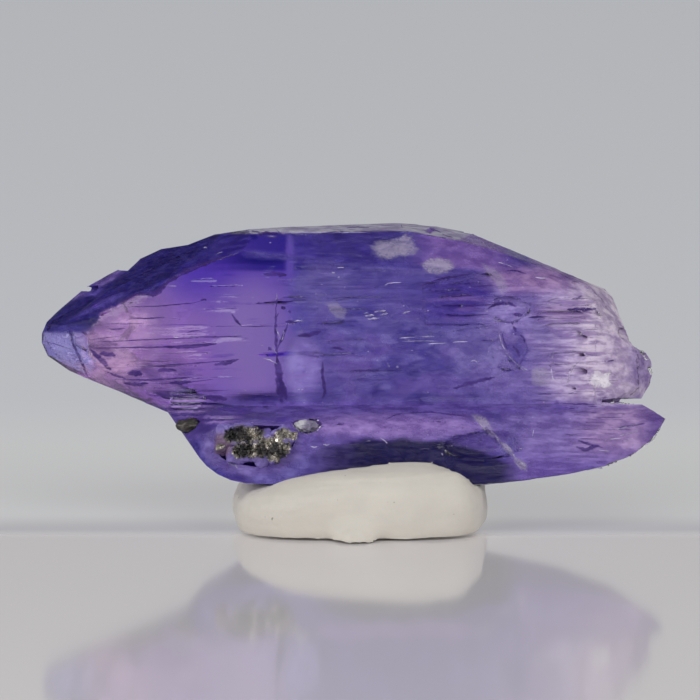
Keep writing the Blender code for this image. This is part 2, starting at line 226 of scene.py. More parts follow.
def node_mesh(node):
    """A copy of a CAD node's mesh with its corners joined."""
    bm = bmesh.new()
    bm.from_mesh(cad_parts[node].data)
    bmesh.ops.remove_doubles(bm, verts=bm.verts, dist=0.002 * MM)
    return bm


# Material helpers

class Shader:
    """One material's nodes, with short ways to add and join them."""

    def __init__(self, name):
        self.material = bpy.data.materials.new(name)
        self.material.use_nodes = True
        self.nodes = self.material.node_tree.nodes
        self.links = self.material.node_tree.links
        self.main = self.nodes["Principled BSDF"]

    def put(self, socket, value):
        if isinstance(value, bpy.types.NodeSocket):
            self.links.new(value, socket)
        elif socket.type == "RGBA":
            socket.default_value = (*tuple(value)[:3], 1.0)
        else:
            socket.default_value = value

    def set(self, **values):
        for name, value in values.items():
            self.put(self.main.inputs[name.replace("_", " ").title().replace("Ior", "IOR")], value)

    def attribute(self, name, output="Fac"):
        node = self.nodes.new("ShaderNodeAttribute")
        node.attribute_name = name
        return node.outputs[output]

    def math(self, operation, first, second=0.0, clamp=False):
        node = self.nodes.new("ShaderNodeMath")
        node.operation = operation
        node.use_clamp = clamp
        self.put(node.inputs[0], first)
        self.put(node.inputs[1], second)
        return node.outputs[0]

    def spread(self, value, low, high, to_low=0.0, to_high=1.0):
        node = self.nodes.new("ShaderNodeMapRange")
        node.interpolation_type = "SMOOTHSTEP"
        for name, entry in (("Value", value), ("From Min", low), ("From Max", high),
                            ("To Min", to_low), ("To Max", to_high)):
            self.put(node.inputs[name], entry)
        return node.outputs["Result"]

    def mix(self, factor, first, second, blend="MIX"):
        node = self.nodes.new("ShaderNodeMix")
        node.data_type = "RGBA"
        node.blend_type = blend
        self.put(node.inputs["Factor"], factor)
        self.put(node.inputs[6], first)
        self.put(node.inputs[7], second)
        return node.outputs[2]

    def group(self, tree, **values):
        node = self.nodes.new("ShaderNodeGroup")
        node.node_tree = tree
        for name, value in values.items():
            self.put(node.inputs[name.replace("_", " ").capitalize()], value)
        return node.outputs[0]

    def tinted(self, colour_in, shade):
        """One colour multiplied by another."""
        return self.mix(1.0, colour_in, shade, "MULTIPLY")

    def bump(self, height, distance, strength=1.0):
        node = self.nodes.new("ShaderNodeBump")
        self.put(node.inputs["Strength"], strength)
        self.put(node.inputs["Distance"], distance)
        self.put(node.inputs["Height"], height)
        return node.outputs["Normal"]


def new_group(name, inputs, output):
    """A node group with number inputs and one number output, and its first and last node."""
    tree = bpy.data.node_groups.new(name, "ShaderNodeTree")
    for socket, default in inputs:
        entry = tree.interface.new_socket(name=socket, in_out="INPUT", socket_type="NodeSocketFloat")
        entry.default_value = default
    tree.interface.new_socket(name=output, in_out="OUTPUT", socket_type="NodeSocketFloat")
    return tree, tree.nodes.new("NodeGroupInput"), tree.nodes.new("NodeGroupOutput")


def rim_group():
    """Fades a mark out towards its rim. Reach is the fullness at which it is whole."""
    name = "rim_fade"
    if name in bpy.data.node_groups:
        return bpy.data.node_groups[name]
    tree, start, end = new_group(name, (("Reach", 0.8),), "Fade")
    full = tree.nodes.new("ShaderNodeAttribute")
    full.attribute_name = "fullness"
    cut = tree.nodes.new("ShaderNodeMapRange")
    cut.interpolation_type = "SMOOTHSTEP"
    tree.links.new(full.outputs["Fac"], cut.inputs["Value"])
    tree.links.new(start.outputs["Reach"], cut.inputs["From Max"])
    tree.links.new(cut.outputs["Result"], end.inputs["Fade"])
    return tree


def streak_group():
    """Noise drawn out along X, as growth lines and cleavage fibres are. Gives a value from 0 to 1."""
    name = "growth_streaks"
    if name in bpy.data.node_groups:
        return bpy.data.node_groups[name]
    inputs = (("Along", 0.25), ("Across", 5.0), ("Detail", 3.0), ("Low", 0.4), ("High", 0.6), ("Seed", 0.0))
    tree, start, end = new_group(name, inputs, "Value")
    place = tree.nodes.new("ShaderNodeTexCoord")
    waves = tree.nodes.new("ShaderNodeCombineXYZ")
    per_metre = tree.nodes.new("ShaderNodeVectorMath")
    per_metre.operation = "SCALE"
    per_metre.inputs["Scale"].default_value = 1 / MM
    scaled = tree.nodes.new("ShaderNodeVectorMath")
    scaled.operation = "MULTIPLY"
    grain = tree.nodes.new("ShaderNodeTexNoise")
    grain.noise_dimensions = "4D"
    grain.inputs["Scale"].default_value = 1.0
    grain.inputs["Roughness"].default_value = 0.55
    cut = tree.nodes.new("ShaderNodeMapRange")
    cut.interpolation_type = "SMOOTHSTEP"
    joins = (
        (start.outputs["Along"], waves.inputs["X"]), (start.outputs["Across"], waves.inputs["Y"]),
        (start.outputs["Across"], waves.inputs["Z"]), (waves.outputs[0], per_metre.inputs[0]),
        (place.outputs["Object"], scaled.inputs[0]), (per_metre.outputs[0], scaled.inputs[1]),
        (scaled.outputs[0], grain.inputs["Vector"]), (start.outputs["Seed"], grain.inputs["W"]),
        (start.outputs["Detail"], grain.inputs["Detail"]), (grain.outputs["Fac"], cut.inputs["Value"]),
        (start.outputs["Low"], cut.inputs["From Min"]), (start.outputs["High"], cut.inputs["From Max"]),
        (cut.outputs["Result"], end.inputs["Value"]),
    )
    for first, second in joins:
        tree.links.new(first, second)
    return tree


# The crystal's shape

def sliced_crystal(coarse):
    """The CAD crystal cut by planes into small cells, finer on the front. Its own edges stay true."""
    bm = node_mesh("tanzanite_crystal")
    bmesh.ops.dissolve_limit(bm, angle_limit=math.radians(0.3), verts=bm.verts, edges=bm.edges)
    low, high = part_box("tanzanite_crystal")
    for axis, step in ((2, CELL_HIGH), (0, CELL_LONG), (1, CELL_DEEP)):
        normal = Vector((0, 0, 0))
        normal[axis] = 1.0
        place = low[axis] + step * coarse * 0.5
        while place < high[axis]:
            bmesh.ops.bisect_plane(
                bm, geom=bm.verts[:] + bm.edges[:] + bm.faces[:], plane_co=normal * place,
                plane_no=normal, dist=1e-7,
            )
            place += step * coarse
    bm.normal_update()
    long_edges = []
    for edge in bm.edges:
        run = edge.verts[1].co - edge.verts[0].co
        facing = [face.normal.dot(TO_CAMERA) > 0.15 for face in edge.link_faces]
        if abs(run.x) > 0.15 * MM and abs(run.x) > 0.7 * run.length and all(facing):
            long_edges.append(edge)
    bmesh.ops.subdivide_edges(bm, edges=long_edges, cuts=2, use_grid_fill=True)
    bmesh.ops.triangulate(bm, faces=bm.faces)
    return bm


# Places where the edges of the CAD solid's hollows and etch marks are worn: middle and size in squares, how
# many times they are evened out, and how far the facet leans back for each mm up
WORN = (
    ((460, 304), (56, 34), 90, 0.35), ((508, 330), (34, 56), 120, 0.35), ((580, 342), (58, 66), 140, 0.40),
    ((430, 345), (180, 62), 30, 0.35), ((125, 340), (60, 60), 60, 0.35), ((180, 375), (90, 32), 40, 0.35),
    ((220, 330), (90, 60), 20, 0.35), ((490, 452), (60, 26), 60, 0.40), ((292, 328), (50, 48), 90, 0.35),
    ((480, 448), (52, 18), 90, 0.60),
)
# The ends of channels in the broken right end, worn in every direction: middle and size in squares
POCKETS = (
    ((601, 314), (16, 10)), ((579, 334), (22, 10)), ((578, 355), (20, 9)), ((580, 371), (20, 9)),
    ((570, 389), (17, 8)), ((630, 333), (14, 9)),
)
# Middles of the nicks in the top ledge, in mm along X and Y
NICKS = ((0.17, 3.67), (3.44, 4.07), (-3.4, 2.77))


def even_out(mesh, values, inside, times):
    """Evens out one row of values, or one for each axis, between joined points of a mesh."""
    edges = np.zeros(len(mesh.edges) * 2, dtype=np.int64)
    mesh.edges.foreach_get("vertices", edges)
    first, second = edges.reshape(-1, 2)[inside[edges].reshape(-1, 2).any(axis=1)].T
    ends, others = np.concatenate((first, second)), np.concatenate((second, first))
    count = np.maximum(np.bincount(ends, minlength=len(inside)), 1)
    columns = values.reshape(len(inside), -1).copy()
    for column in columns.T:
        for _ in range(times):
            mean = np.bincount(ends, weights=column[others], minlength=len(inside)) / count
            column[inside] += 0.6 * (mean - column)[inside]
    return columns.reshape(values.shape)


def wear(mesh):
    """Evens out worn edges on the front, in depth only, so that the outline stays as it is."""
    points, normals = read_vectors(mesh, "co"), read_vectors(mesh, "normal")
    facing = normals @ np.array(TO_CAMERA) > 0.5
    right, down = squares(points)
    for middle, size, times, lean in WORN:
        inside = blob(right, down, middle, size, 0.2) > 0.5
        depth = points[:, 1] - lean * points[:, 2]
        inside &= depth < np.percentile(depth[inside & facing], 30) + 1.5 * MM
        points[:, 1] = even_out(mesh, depth, inside, times) + lean * points[:, 2]
    depth = points[:, 1] - 0.4 * points[:, 2]
    for middle, size in POCKETS:
        inside = (blob(right, down, middle, size, 0.2) > 0.5) & (depth < -1.0 * MM)
        points = even_out(mesh, points, inside, 60)
    place = points / MM
    for x, y in NICKS:
        inside = (np.hypot((place[:, 0] - x) / 0.75, (place[:, 1] - y) / 0.8) < 1) & (place[:, 2] > 11.0)
        points = even_out(mesh, points, inside, 25)
    mesh.vertices.foreach_set("co", points.ravel())
    mesh.update()


# Grooves of the clear left window: from, to and down, in squares; then half height and depth in mm
GROOVES = (
    (120, 204, 305.0, 0.05, 0.05), (128, 165, 318.0, 0.05, 0.05), (105, 145, 323.0, 0.05, 0.04),
    (85, 200, 341.0, 0.06, 0.06), (90, 217, 348.0, 0.08, 0.08), (165, 217, 347.0, 0.10, 0.08),
    (180, 242, 337.0, 0.05, 0.06), (145, 235, 364.0, 0.06, 0.07), (125, 144, 374.0, 0.12, 0.08),
    (155, 177, 371.0, 0.10, 0.08), (110, 200, 379.0, 0.06, 0.07), (125, 175, 383.0, 0.08, 0.07),
    (150, 200, 395.5, 0.08, 0.10), (241, 272, 326.0, 0.04, 0.04),
)
# Pits and broken hollows: middle, size in squares, depth in mm
HOLLOWS = (
    ((506, 309), (22, 11), 0.10), ((518, 327), (9, 6), 0.08), ((526, 366), (8, 9), 0.06),
    ((466, 346), (40, 40), 0.06), ((590, 445), (20, 6), 0.06), ((470, 440), (26, 20), 0.04),
)
# Curved steps left by shell-like breaks: path in squares, drop in mm, reach in squares
STEPS = (
    (((331, 303), (345, 325), (362, 341), (378, 355), (390, 370)), 0.05, 26),
    (((499, 325), (500, 338), (504, 349), (514, 361), (526, 372)), 0.16, 20),
    (((420, 287), (447, 277), (476, 271), (506, 268)), 0.05, 14),
    (((470, 414), (486, 428), (503, 447), (518, 462), (530, 474)), 0.10, 16),
    (((296, 415), (340, 413), (395, 413), (440, 411), (478, 424)), 0.06, 12),
    (((566, 388), (570, 374), (575, 365), (583, 358)), 0.05, 10),
    (((530, 400), (560, 396), (600, 398), (636, 401)), 0.08, 12),
)


def beside(right, down, path):
    """How far points lie from a path, in squares, with a sign for the side, and how far along it, 0 to 1."""
    nearest = np.full(len(right), 1e9)
    side = np.zeros(len(right))
    along = np.zeros(len(right))
    for number, (start, end) in enumerate(zip(path, path[1:])):
        run = np.subtract(end, start).astype(float)
        length = np.hypot(*run)
        share = ((right - start[0]) * run[0] + (down - start[1]) * run[1]) / length ** 2
        held = np.clip(share, 0, 1)
        away = np.hypot(right - start[0] - run[0] * held, down - start[1] - run[1] * held)
        closer = away < nearest
        turn = np.sign(run[0] * (down - start[1]) - run[1] * (right - start[0]))
        nearest = np.where(closer, away, nearest)
        side = np.where(closer, turn, side)
        along = np.where(closer, (number + held) / (len(path) - 1), along)
    return nearest * side, along


def crystal_relief(points, normals, seed):
    """How far in each point of the surface lies from the plain facets, in mm: growth lines and breaks."""
    right, down = squares(points)
    front = smooth(0.1, 0.4, normals @ np.array(TO_CAMERA))
    side = smooth(0.4, 0.8, np.abs(normals[:, 0]))
    tip = 1 - smooth(85, 115, right)
    window = 1 - smooth(272, 300, right)
    broken = smooth(508, 560, right)
    streaks = noise_at(points, (0.18, 3.0, 3.0), seed)
    fine = noise_at(points, (0.35, 8.5, 8.5), seed + 1)
    wide = noise_at(points, (0.3, 1.2, 1.2), seed + 2)
    lumps = noise_at(points, (1.4, 1.7, 1.7), seed + 3)
    grit = noise_at(points, (3.6, 5.0, 5.0), seed + 4)
    ledge = smooth(0.9, 0.97, normals[:, 2])
    lined = (0.004 + 0.010 * (1 - window) + 0.012 * broken) * (1 - 0.8 * side) * (1 - 0.9 * tip)
    relief = lined * (1.0 + streaks + 0.7 * fine)
    relief += (1 - window) * (0.018 * (0.8 + lumps) + 0.006 * (1 + grit)) * (1 - 0.5 * broken)
    relief += broken * (0.02 * (0.7 + wide) + 0.012 * np.abs(grit) + 0.025 * side * (1 + lumps))
    relief *= 1 - 0.8 * ledge
    for start, end, line, half, deep in GROOVES:
        along = smooth(start, start + 12, right) * (1 - smooth(end - 16, end, right))
        away = (down - line - 1.2 * wide) * SQUARE / MM / (half * (0.5 + 0.8 * along))
        relief += front * 0.08 * deep * along * np.clip(1 - away ** 2, 0, 1)
    for middle, size, deep in HOLLOWS:
        hollow = blob(right + 9 * lumps, down + 6 * lumps, middle, size, 0.7)
        relief += front * deep * hollow * (1 + 0.5 * grit)
    for path, drop, reach in STEPS:
        away, along = beside(right + 1.5 * lumps, down + 1.5 * lumps, path)
        ends = smooth(0, 0.15, along) * (1 - smooth(0.85, 1, along))
        relief += front * drop * ends * smooth(-0.6, 0.9, away) * np.exp(-np.abs(away) / reach)
    return np.maximum(relief, 0.0) + 0.008


# Lower edge of the dark bevel that runs from the tip up the left shoulder; its dark is partly the stone's
# deep colour and partly painted shade
SHOULDER = ((38, 334), (61, 326), (87, 329), (98, 321), (100, 313), (115, 306), (136, 293), (155, 294),
            (167, 281), (184, 271), (227, 256), (240, 253), (252, 238))
# Upper edge of the dark band above the putty, whose darkness is painted shade
BAND = ((290, 453), (328, 444), (365, 440), (403, 438), (443, 440), (487, 451), (513, 464), (530, 478))
# Upper edge of the tall front face
FACE_EDGE = ((240, 253), (280, 256), (376, 264), (440, 268), (520, 275))
# Lower edge of the bevel above that face
BEVEL_FOOT = 271
# Patches of the stone with a colour of their own, or with painted light or shade where their names say so:
# middle and size in squares, and how soft the border is
SPOTS = {
    "shoulder stripe": ((100, 305), (16, 3.4), 0.5), "outer bevel": ((95, 283), (26, 6), 0.4),
    "clear pane": ((303, 368), (18, 29), 0.4), "bright window": ((255, 350), (34, 58), 0.6),
    "blue middle": ((395, 335), (95, 75), 0.7), "dark heart": ((410, 350), (45, 28), 0.7),
    "pane": ((303, 368), (20, 31), 0.3), "violet cloud": ((345, 385), (32, 24), 0.6),
    "oval step": ((460, 302), (40, 21), 0.3), "oval lines": ((466, 296), (36, 20), 0.3),
    "pit shade": ((518, 345), (12, 40), 0.5), "crack top": ((290, 262), (4, 30), 0.5),
    "oval haze": ((458, 302), (44, 24), 0.4), "oval streaks": ((458, 306), (34, 14), 0.5),
    "crumbly pit": ((508, 330), (24, 46), 0.5), "shade in the pit hollow": ((518, 352), (9, 24), 0.4),
    "sheen on the lower crest": ((395, 425), (92, 12), 0.4), "cloud by the crack": ((322, 292), (30, 24), 0.6),
    "below the pit": ((508, 380), (36, 26), 0.6), "end rim": ((645, 362), (16, 26), 0.5),
    "end groove": ((568, 312), (30, 7), 0.6), "end glare": ((616, 306), (24, 26), 0.7),
    "beside the pit": ((478, 350), (28, 28), 0.6), "upper cloud": ((395, 290), (40, 22), 0.6),
    "pink end": ((112, 366), (44, 26), 0.8), "pink top": ((132, 324), (26, 20), 0.9),
    "lower left edge": ((156, 379), (30, 15), 0.5), "rods": ((188, 404), (24, 11), 0.6),
    "low rods": ((223, 419), (18, 6), 0.6), "right bevel": ((530, 279), (42, 13), 0.6),
    "around the pyrite": ((252, 447), (50, 28), 0.12), "tip edge": ((62, 329), (30, 4), 0.5),
    "bevel corner": ((92, 290), (9, 6), 0.4), "tip glow": ((100, 337), (14, 8), 0.5),
}


def edge_height(right, edge):
    """How far down an edge lies at each place to the right."""
    return np.interp(right, [place[0] for place in edge], [place[1] for place in edge])


class Surface:
    """The stone's points on the squared paper, noises that roughen its zones, and the zones themselves."""

    def __init__(self, points, normals):
        self.right, self.down = right, down = squares(points)
        self.normals = normals
        self.soft = noise_at(points, (0.25, 0.5, 0.5), 21.0)
        self.patch = noise_at(points, (0.9, 1.2, 1.2), 22.0)
        self.ragged = ragged = noise_at(points, (1.2, 3.0, 3.0), 23.0)
        self.small = noise_at(points, (0.7, 4.0, 4.0), 24.0)

        # The dark band above the putty, where shade is painted
        self.painted_shade_band = smooth(-2.5, 4, down + 4 * ragged - edge_height(right, BAND))
        self.painted_shade_band *= smooth(280, 365, right + 8 * ragged)
        self.painted_shade_band *= 1 - smooth(496, 524, right + 4 * ragged)
        self.foot = smooth(448, 466, down) * smooth(195, 215, right) * (1 - smooth(300, 330, right))
        self.panel = smooth(-5, 5, BEVEL_FOOT - down) * smooth(400, 440, right)
        self.panel *= 1 - smooth(490, 530, right)
        self.shoulder = smooth(-0.8, 0.8, edge_height(right, SHOULDER) - down - 2 * ragged)
        self.shoulder *= 1 - smooth(246, 254, right)
        self.stripe = self.spot("shoulder stripe", 0.9 * (down - 305), 0.45 * (right - 100))
        self.outer = self.spot("outer bevel", 0.5 * (down - 285), 0.52 * (right - 95))
        west, south, up = -normals[:, 0], -normals[:, 1], normals[:, 2]
        self.chisel = smooth(0.42, 0.5, west) * smooth(0.25, 0.4, south) * smooth(-0.4, -0.2, up)
        self.chisel *= (1 - smooth(95, 110, right)) * smooth(324, 330, down)
        self.ledge = smooth(0.96, 0.985, up) * smooth(310, 290, down)
        self.clear = self.spot("clear pane")

    def spot(self, name, sway=0.0, drop=0.0):
        """1 inside a named patch and 0 outside it. Sway and drop move its border, right and down."""
        return blob(self.right + sway, self.down + drop, *SPOTS[name])


class Paint:
    """A colour and a share at each point of the surface, with others laid over them where a mask says."""

    def __init__(self, count, shade):
        self.shade = np.tile(np.array(shade, dtype=float), (count, 1))
        self.share = np.zeros(count)

    def lay(self, mask, shade, share=0.0):
        """Lays one shade over the rest as far as the mask says."""
        mask = np.clip(mask, 0, 1)
        self.share = self.share * (1 - mask) + share * mask
        self.shade = self.shade * (1 - mask[:, None]) + np.array(shade) * mask[:, None]


def stone_tint(surface, settings):
    """The tint of the clear stone, zone by zone."""
    right, down, spot = surface.right, surface.down, surface.spot
    soft, patch, ragged, small = surface.soft, surface.patch, surface.ragged, surface.small
    violet, indigo_and_shade, blue = np.array(settings.violet), np.array(settings.indigo_and_shade), np.array(settings.blue)
    tint = Paint(len(right), settings.pink)
    lay = tint.lay

    # The clear window: pink lilac at its left end, violet towards the crack, darker at the top
    lay(smooth(95, 245, right + 30 * soft - 0.35 * (down - 330)), violet)
    lay(0.7 * smooth(345, 400, down) * smooth(150, 230, right), (0.50, 0.60, 1.0))
    lay(smooth(-30, 30, 300 - down - 25 * soft) * smooth(120, 200, right), violet * (0.36, 0.28, 0.85))
    lay(spot("bright window"), (0.72, 0.90, 1.0))

    # The hazy middle with its lighter and darker clouds
    lay(smooth(282, 304, right + 6 * patch), blue)
    lay(spot("blue middle", 8 * patch, 8 * patch), blue * (0.85, 0.85, 0.95))
    lay(0.8 * spot("dark heart", 5 * patch), blue * (0.7, 0.72, 0.95))
    hazy = smooth(300, 330, right)
    lay(0.55 * smooth(0.05, 0.35, patch + 0.5 * soft) * hazy, violet * (0.9, 1.0, 1.0))
    lay(0.7 * smooth(0.1, 0.4, -patch + 0.5 * ragged) * hazy, blue * (0.75, 0.75, 0.95))
    lay(spot("pane", 4 * ragged, 5 * ragged), (0.76, 1.0, 1.0))
    lay(0.7 * spot("violet cloud", 6 * patch, 4 * patch), (0.62, 0.7, 0.98))
    lay(0.9 * spot("oval step", 6 * patch, 4 * patch), (0.40, 0.36, 0.90))
    lay(0.6 * spot("oval lines") * smooth(0.1, 0.3, small), violet)

    # The pale right end
    lay(smooth(475, 560, right + 14 * patch) * 0.9, (0.66, 0.84, 1.0))
    lay(smooth(535, 600, right + 14 * patch) * (1 - smooth(395, 412, down)), (1.0, 1.0, 1.0))
    lay(0.6 * spot("pit shade") * (0.6 + ragged), indigo_and_shade * (2.5, 2.0, 2.0))

    # The lower crystal, its dark band of painted shade and its foot
    low = smooth(388, 445, down + 10 * patch) * smooth(200, 260, right) * (1 - smooth(455, 500, right))
    lay(low, (0.50, 0.78, 1.0))
    lay(surface.painted_shade_band, (0.03, 0.03, 0.26))
    lay(0.85 * surface.foot, (0.40, 0.60, 1.0))

    # The bevel along the top, dark partly by the stone's deep colour and partly by painted shade
    bevel = smooth(-1.5, 1.5, BEVEL_FOOT - down - 1.5 * small) * smooth(180, 262, right)
    lay(bevel * (1 - smooth(372, 440, right + 10 * soft)), indigo_and_shade * (0.5, 0.5, 0.8))
    lay(surface.panel, (0.62, 0.46, 0.95))
    lay(spot("crack top", 0.0, 2 * small) * 0.8, (0.42, 0.5, 1.0))

    # The left shoulder, dark partly by the stone's deep colour and partly by painted shade; the chisel tip
    # and the ledge, pale by painted reflection
    shoulder = surface.shoulder
    lay(shoulder, (0.008, 0.006, 0.16))
    lay(0.5 * shoulder * smooth(0.0, 0.4, soft + small * 0.5), (0.03, 0.02, 0.34))
    lay(surface.stripe * shoulder, (0.25, 0.22, 0.7))
    lay(surface.outer * (0.75 + ragged), (0.7, 0.62, 0.95))
    # The chisel tip: its light blue is a painted reflection
    lay(surface.chisel, settings.tip_sheen_blue)
    # The top ledge: its pale colour is a painted reflection of the bright surroundings above
    lay(surface.ledge, (0.75, 0.8, 0.95))
    return np.clip(tint.shade, 0, 1)


def stone_frost(surface):
    """How matt the stone is: clear at the left and in one window, cloudy from the middle on."""
    right, patch = surface.right, surface.patch
    centre = smooth(284, 302, right) * (1 - 0.85 * surface.clear) * (0.55 + 0.5 * patch)
    end = smooth(520, 575, right + 10 * patch)
    frost = np.clip(0.9 * centre + end, 0, 1)
    frost = frost * (1 - 0.8 * surface.ledge) * (1 - smooth(0.6, 1.0, surface.shoulder))
    clouds = smooth(0.35, 0.6, patch + 0.3 * surface.ragged)
    frost = np.maximum(frost, 0.55 * clouds * smooth(225, 260, right))
    return np.clip(frost, 0, 1)


def stone_haze(surface):
    """The frosted skin: its colour in each zone, and how much it hides the stone."""
    right, down, spot = surface.right, surface.down, surface.spot
    soft, patch, ragged, small = surface.soft, surface.patch, surface.ragged, surface.small
    shoulder = surface.shoulder
    haze = Paint(len(right), (0.12, 0.09, 0.44))
    lay = haze.lay

    # The hazy middle
    lay(smooth(280, 350, right + 10 * patch) * (1 - 0.9 * surface.clear), (0.17, 0.135, 0.50), 0.38)
    hazy = smooth(295, 345, right)
    lay(0.7 * hazy * smooth(0.0, 0.4, patch + 0.5 * soft), (0.23, 0.145, 0.56), 0.42)
    lay(0.7 * hazy * smooth(0.05, 0.4, 0.5 * ragged - patch), (0.07, 0.05, 0.36), 0.42)
    lay(0.6 * hazy * smooth(0.2, 0.5, ragged + 0.5 * small), (0.30, 0.25, 0.68), 0.45)
    lay(spot("oval haze", 6 * patch, 4 * patch), (0.09, 0.05, 0.40), 0.58)
    top = smooth(268, 262, down) * smooth(285, 300, right) * (1 - smooth(520, 545, right))
    lay(top, (0.12, 0.08, 0.50), 0.22)
    lay(0.85 * surface.panel, (0.36, 0.21, 0.62), 0.46)
    lines = spot("oval streaks", 0.0, 2 * ragged) * smooth(0.0, 0.25, small)
    lay(0.7 * lines, (0.30, 0.18, 0.58), 0.55)
    lay(spot("crumbly pit", 8 * patch, 8 * ragged), (0.44, 0.34, 0.76), 0.58)
    # Painted shade in the pit's hollow
    lay(0.8 * spot("shade in the pit hollow", 8 * ragged, 8 * ragged), (0.06, 0.03, 0.36), 0.60)

    # The pale right end
    lay(smooth(515, 570, right + 14 * patch), (0.55, 0.43, 0.74), 0.78)
    lay(smooth(545, 600, right + 14 * patch), (0.70, 0.59, 0.74), 0.88)
    lay(smooth(392, 412, down + 4 * ragged) * smooth(490, 540, right + 8 * patch), (0.33, 0.24, 0.63), 0.64)
    lay(smooth(400, 412, down) * smooth(550, 610, right + 8 * patch), (0.52, 0.36, 0.66), 0.70)
    lay(smooth(440, 468, down + 6 * patch) * smooth(480, 530, right), (0.27, 0.18, 0.60), 0.58)

    # The lower crystal with a painted sheen on its crest, the seam above it and its dark band of painted
    # shade
    lower = smooth(390, 420, down + 5 * ragged) * (1 - smooth(460, 510, right)) * smooth(236, 290, right)
    lay(lower, (0.22, 0.15, 0.56), 0.48)
    # A pale lilac painted sheen on the lower crest, where it faces the light above
    lay(0.9 * spot("sheen on the lower crest", 8 * patch, 3 * ragged), (0.50, 0.33, 0.80), 0.58)
    seam = np.exp(-((down - 407) / 6) ** 2) * smooth(215, 260, right) * (1 - smooth(560, 600, right))
    lay(seam * (0.8 + ragged), (0.20, 0.125, 0.54), 0.75)
    lay(surface.painted_shade_band, (0.015, 0.012, 0.11), 0.42)
    lay(surface.foot, (0.22, 0.18, 0.58), 0.58)

    # Edges and clouds of the middle and the right
    line = np.exp(-((down - edge_height(right, FACE_EDGE)) / 3) ** 2)
    lay(0.9 * line * smooth(238, 250, right), (0.07, 0.05, 0.34), 0.75)
    lay(0.7 * spot("cloud by the crack", 8 * patch, 8 * patch), (0.26, 0.22, 0.58), 0.42)
    lay(0.7 * spot("below the pit", 8 * patch, 8 * patch), (0.32, 0.24, 0.64), 0.52)
    lay(smooth(632, 658, right) * smooth(398, 406, down), (0.22, 0.13, 0.44), 0.60)
    lay(0.8 * spot("end rim", 3 * ragged, 3 * ragged), (0.38, 0.28, 0.56), 0.75)
    lay(0.6 * spot("end groove", 5 * patch, 3 * ragged), (0.40, 0.25, 0.52), 0.72)
    lay(0.6 * spot("end glare", 8 * patch, 8 * patch), (0.74, 0.68, 0.72), 0.88)
    lay(surface.clear, (0.48, 0.40, 0.95), 0.28)
    lay(0.85 * spot("beside the pit", 5 * patch, 5 * patch), (0.30, 0.24, 0.62), 0.52)
    lay(0.7 * spot("upper cloud", 8 * patch, 8 * patch), (0.12, 0.09, 0.46), 0.46)

    # The lower left, the clear window and the bevel at the far right
    lay(smooth(400, 416, down) * (1 - smooth(226, 262, right)), (0.13, 0.08, 0.42), 0.45)
    lay(smooth(436, 446, down) * (1 - smooth(214, 250, right)), (0.07, 0.05, 0.36), 0.75)
    lay(spot("pink end", 4 * patch), (0.95, 0.60, 1.0), 0.34)
    lay(spot("pink top"), (0.95, 0.62, 1.0), 0.32)
    lay(spot("lower left edge", 6 * patch, 3 * ragged), (0.42, 0.24, 0.66), 0.45)
    rods = smooth(-0.12, 0.10, np.sin(down * 1.15 + 2 * soft) + 0.8 * small)
    lay(spot("rods", 4 * ragged) * rods, (0.60, 0.40, 0.86), 0.50)
    lay(spot("low rods", 4 * ragged) * rods, (0.52, 0.34, 0.82), 0.50)
    lay(0.8 * spot("right bevel", 8 * patch, 3 * ragged), (0.50, 0.30, 0.58), 0.62)

    # The left shoulder, dark partly by the stone's deep colour and partly by painted shade; the ledge and the
    # chisel tip, pale by painted reflection; and the rim of the pyrite's pit
    lay(0.9 * shoulder * (1 - smooth(205, 225, right)), (0.018, 0.010, 0.20), 0.50)
    lay(0.7 * shoulder * smooth(0.05, 0.4, small + 0.4 * ragged), (0.05, 0.035, 0.34), 0.50)
    lay(0.8 * surface.stripe * shoulder, (0.12, 0.09, 0.48), 0.60)
    lay(surface.outer * (0.75 + ragged) * smooth(0.2, 0.5, shoulder), (0.28, 0.19, 0.60), 0.55)
    # The top ledge: its pale grey is a painted reflection of the bright surroundings above
    lay(surface.ledge * smooth(225, 260, right), (0.60, 0.59, 0.70), 0.66)
    lay(spot("around the pyrite"), (0.24, 0.18, 0.52), 0.80)
    # The chisel tip: its light blue is a painted reflection
    lay(surface.chisel, (0.42, 0.40, 0.78), 0.50)
    lay(spot("tip edge"), (0.06, 0.045, 0.34), 0.60)
    lay(spot("bevel corner"), (0.12, 0.08, 0.44), 0.85)
    lay(0.9 * spot("tip glow"), (0.82, 0.54, 0.86), 0.50)
    return np.clip(haze.shade, 0, 1), np.clip(haze.share, 0, 1)


def stone_fibres(surface):
    """Where the skin shows fibres and not clouds."""
    right, down, patch, normals = surface.right, surface.down, surface.patch, surface.normals
    fibrous = smooth(500, 560, right + 10 * patch) * (1 - 0.75 * smooth(592, 622, right))
    fibrous = np.maximum(fibrous, 0.7 * smooth(345, 305, down + 10 * patch) * smooth(288, 310, right))
    fibrous *= 1 - smooth(0.45, 0.7, normals[:, 2])
    return fibrous * (1 - 0.8 * smooth(0.35, 0.65, np.abs(normals[:, 0])))


def paint_stone(mesh, points, normals, settings):
    """Stores what the materials of the stone and its skin read."""
    surface = Surface(points, normals)
    haze, skin = stone_haze(surface)
    store_colour(mesh, "tint", stone_tint(surface, settings))
    store(mesh, "frost", stone_frost(surface))
    store(mesh, "skin", skin)
    store_colour(mesh, "haze", haze)
    store(mesh, "fibrous", stone_fibres(surface))


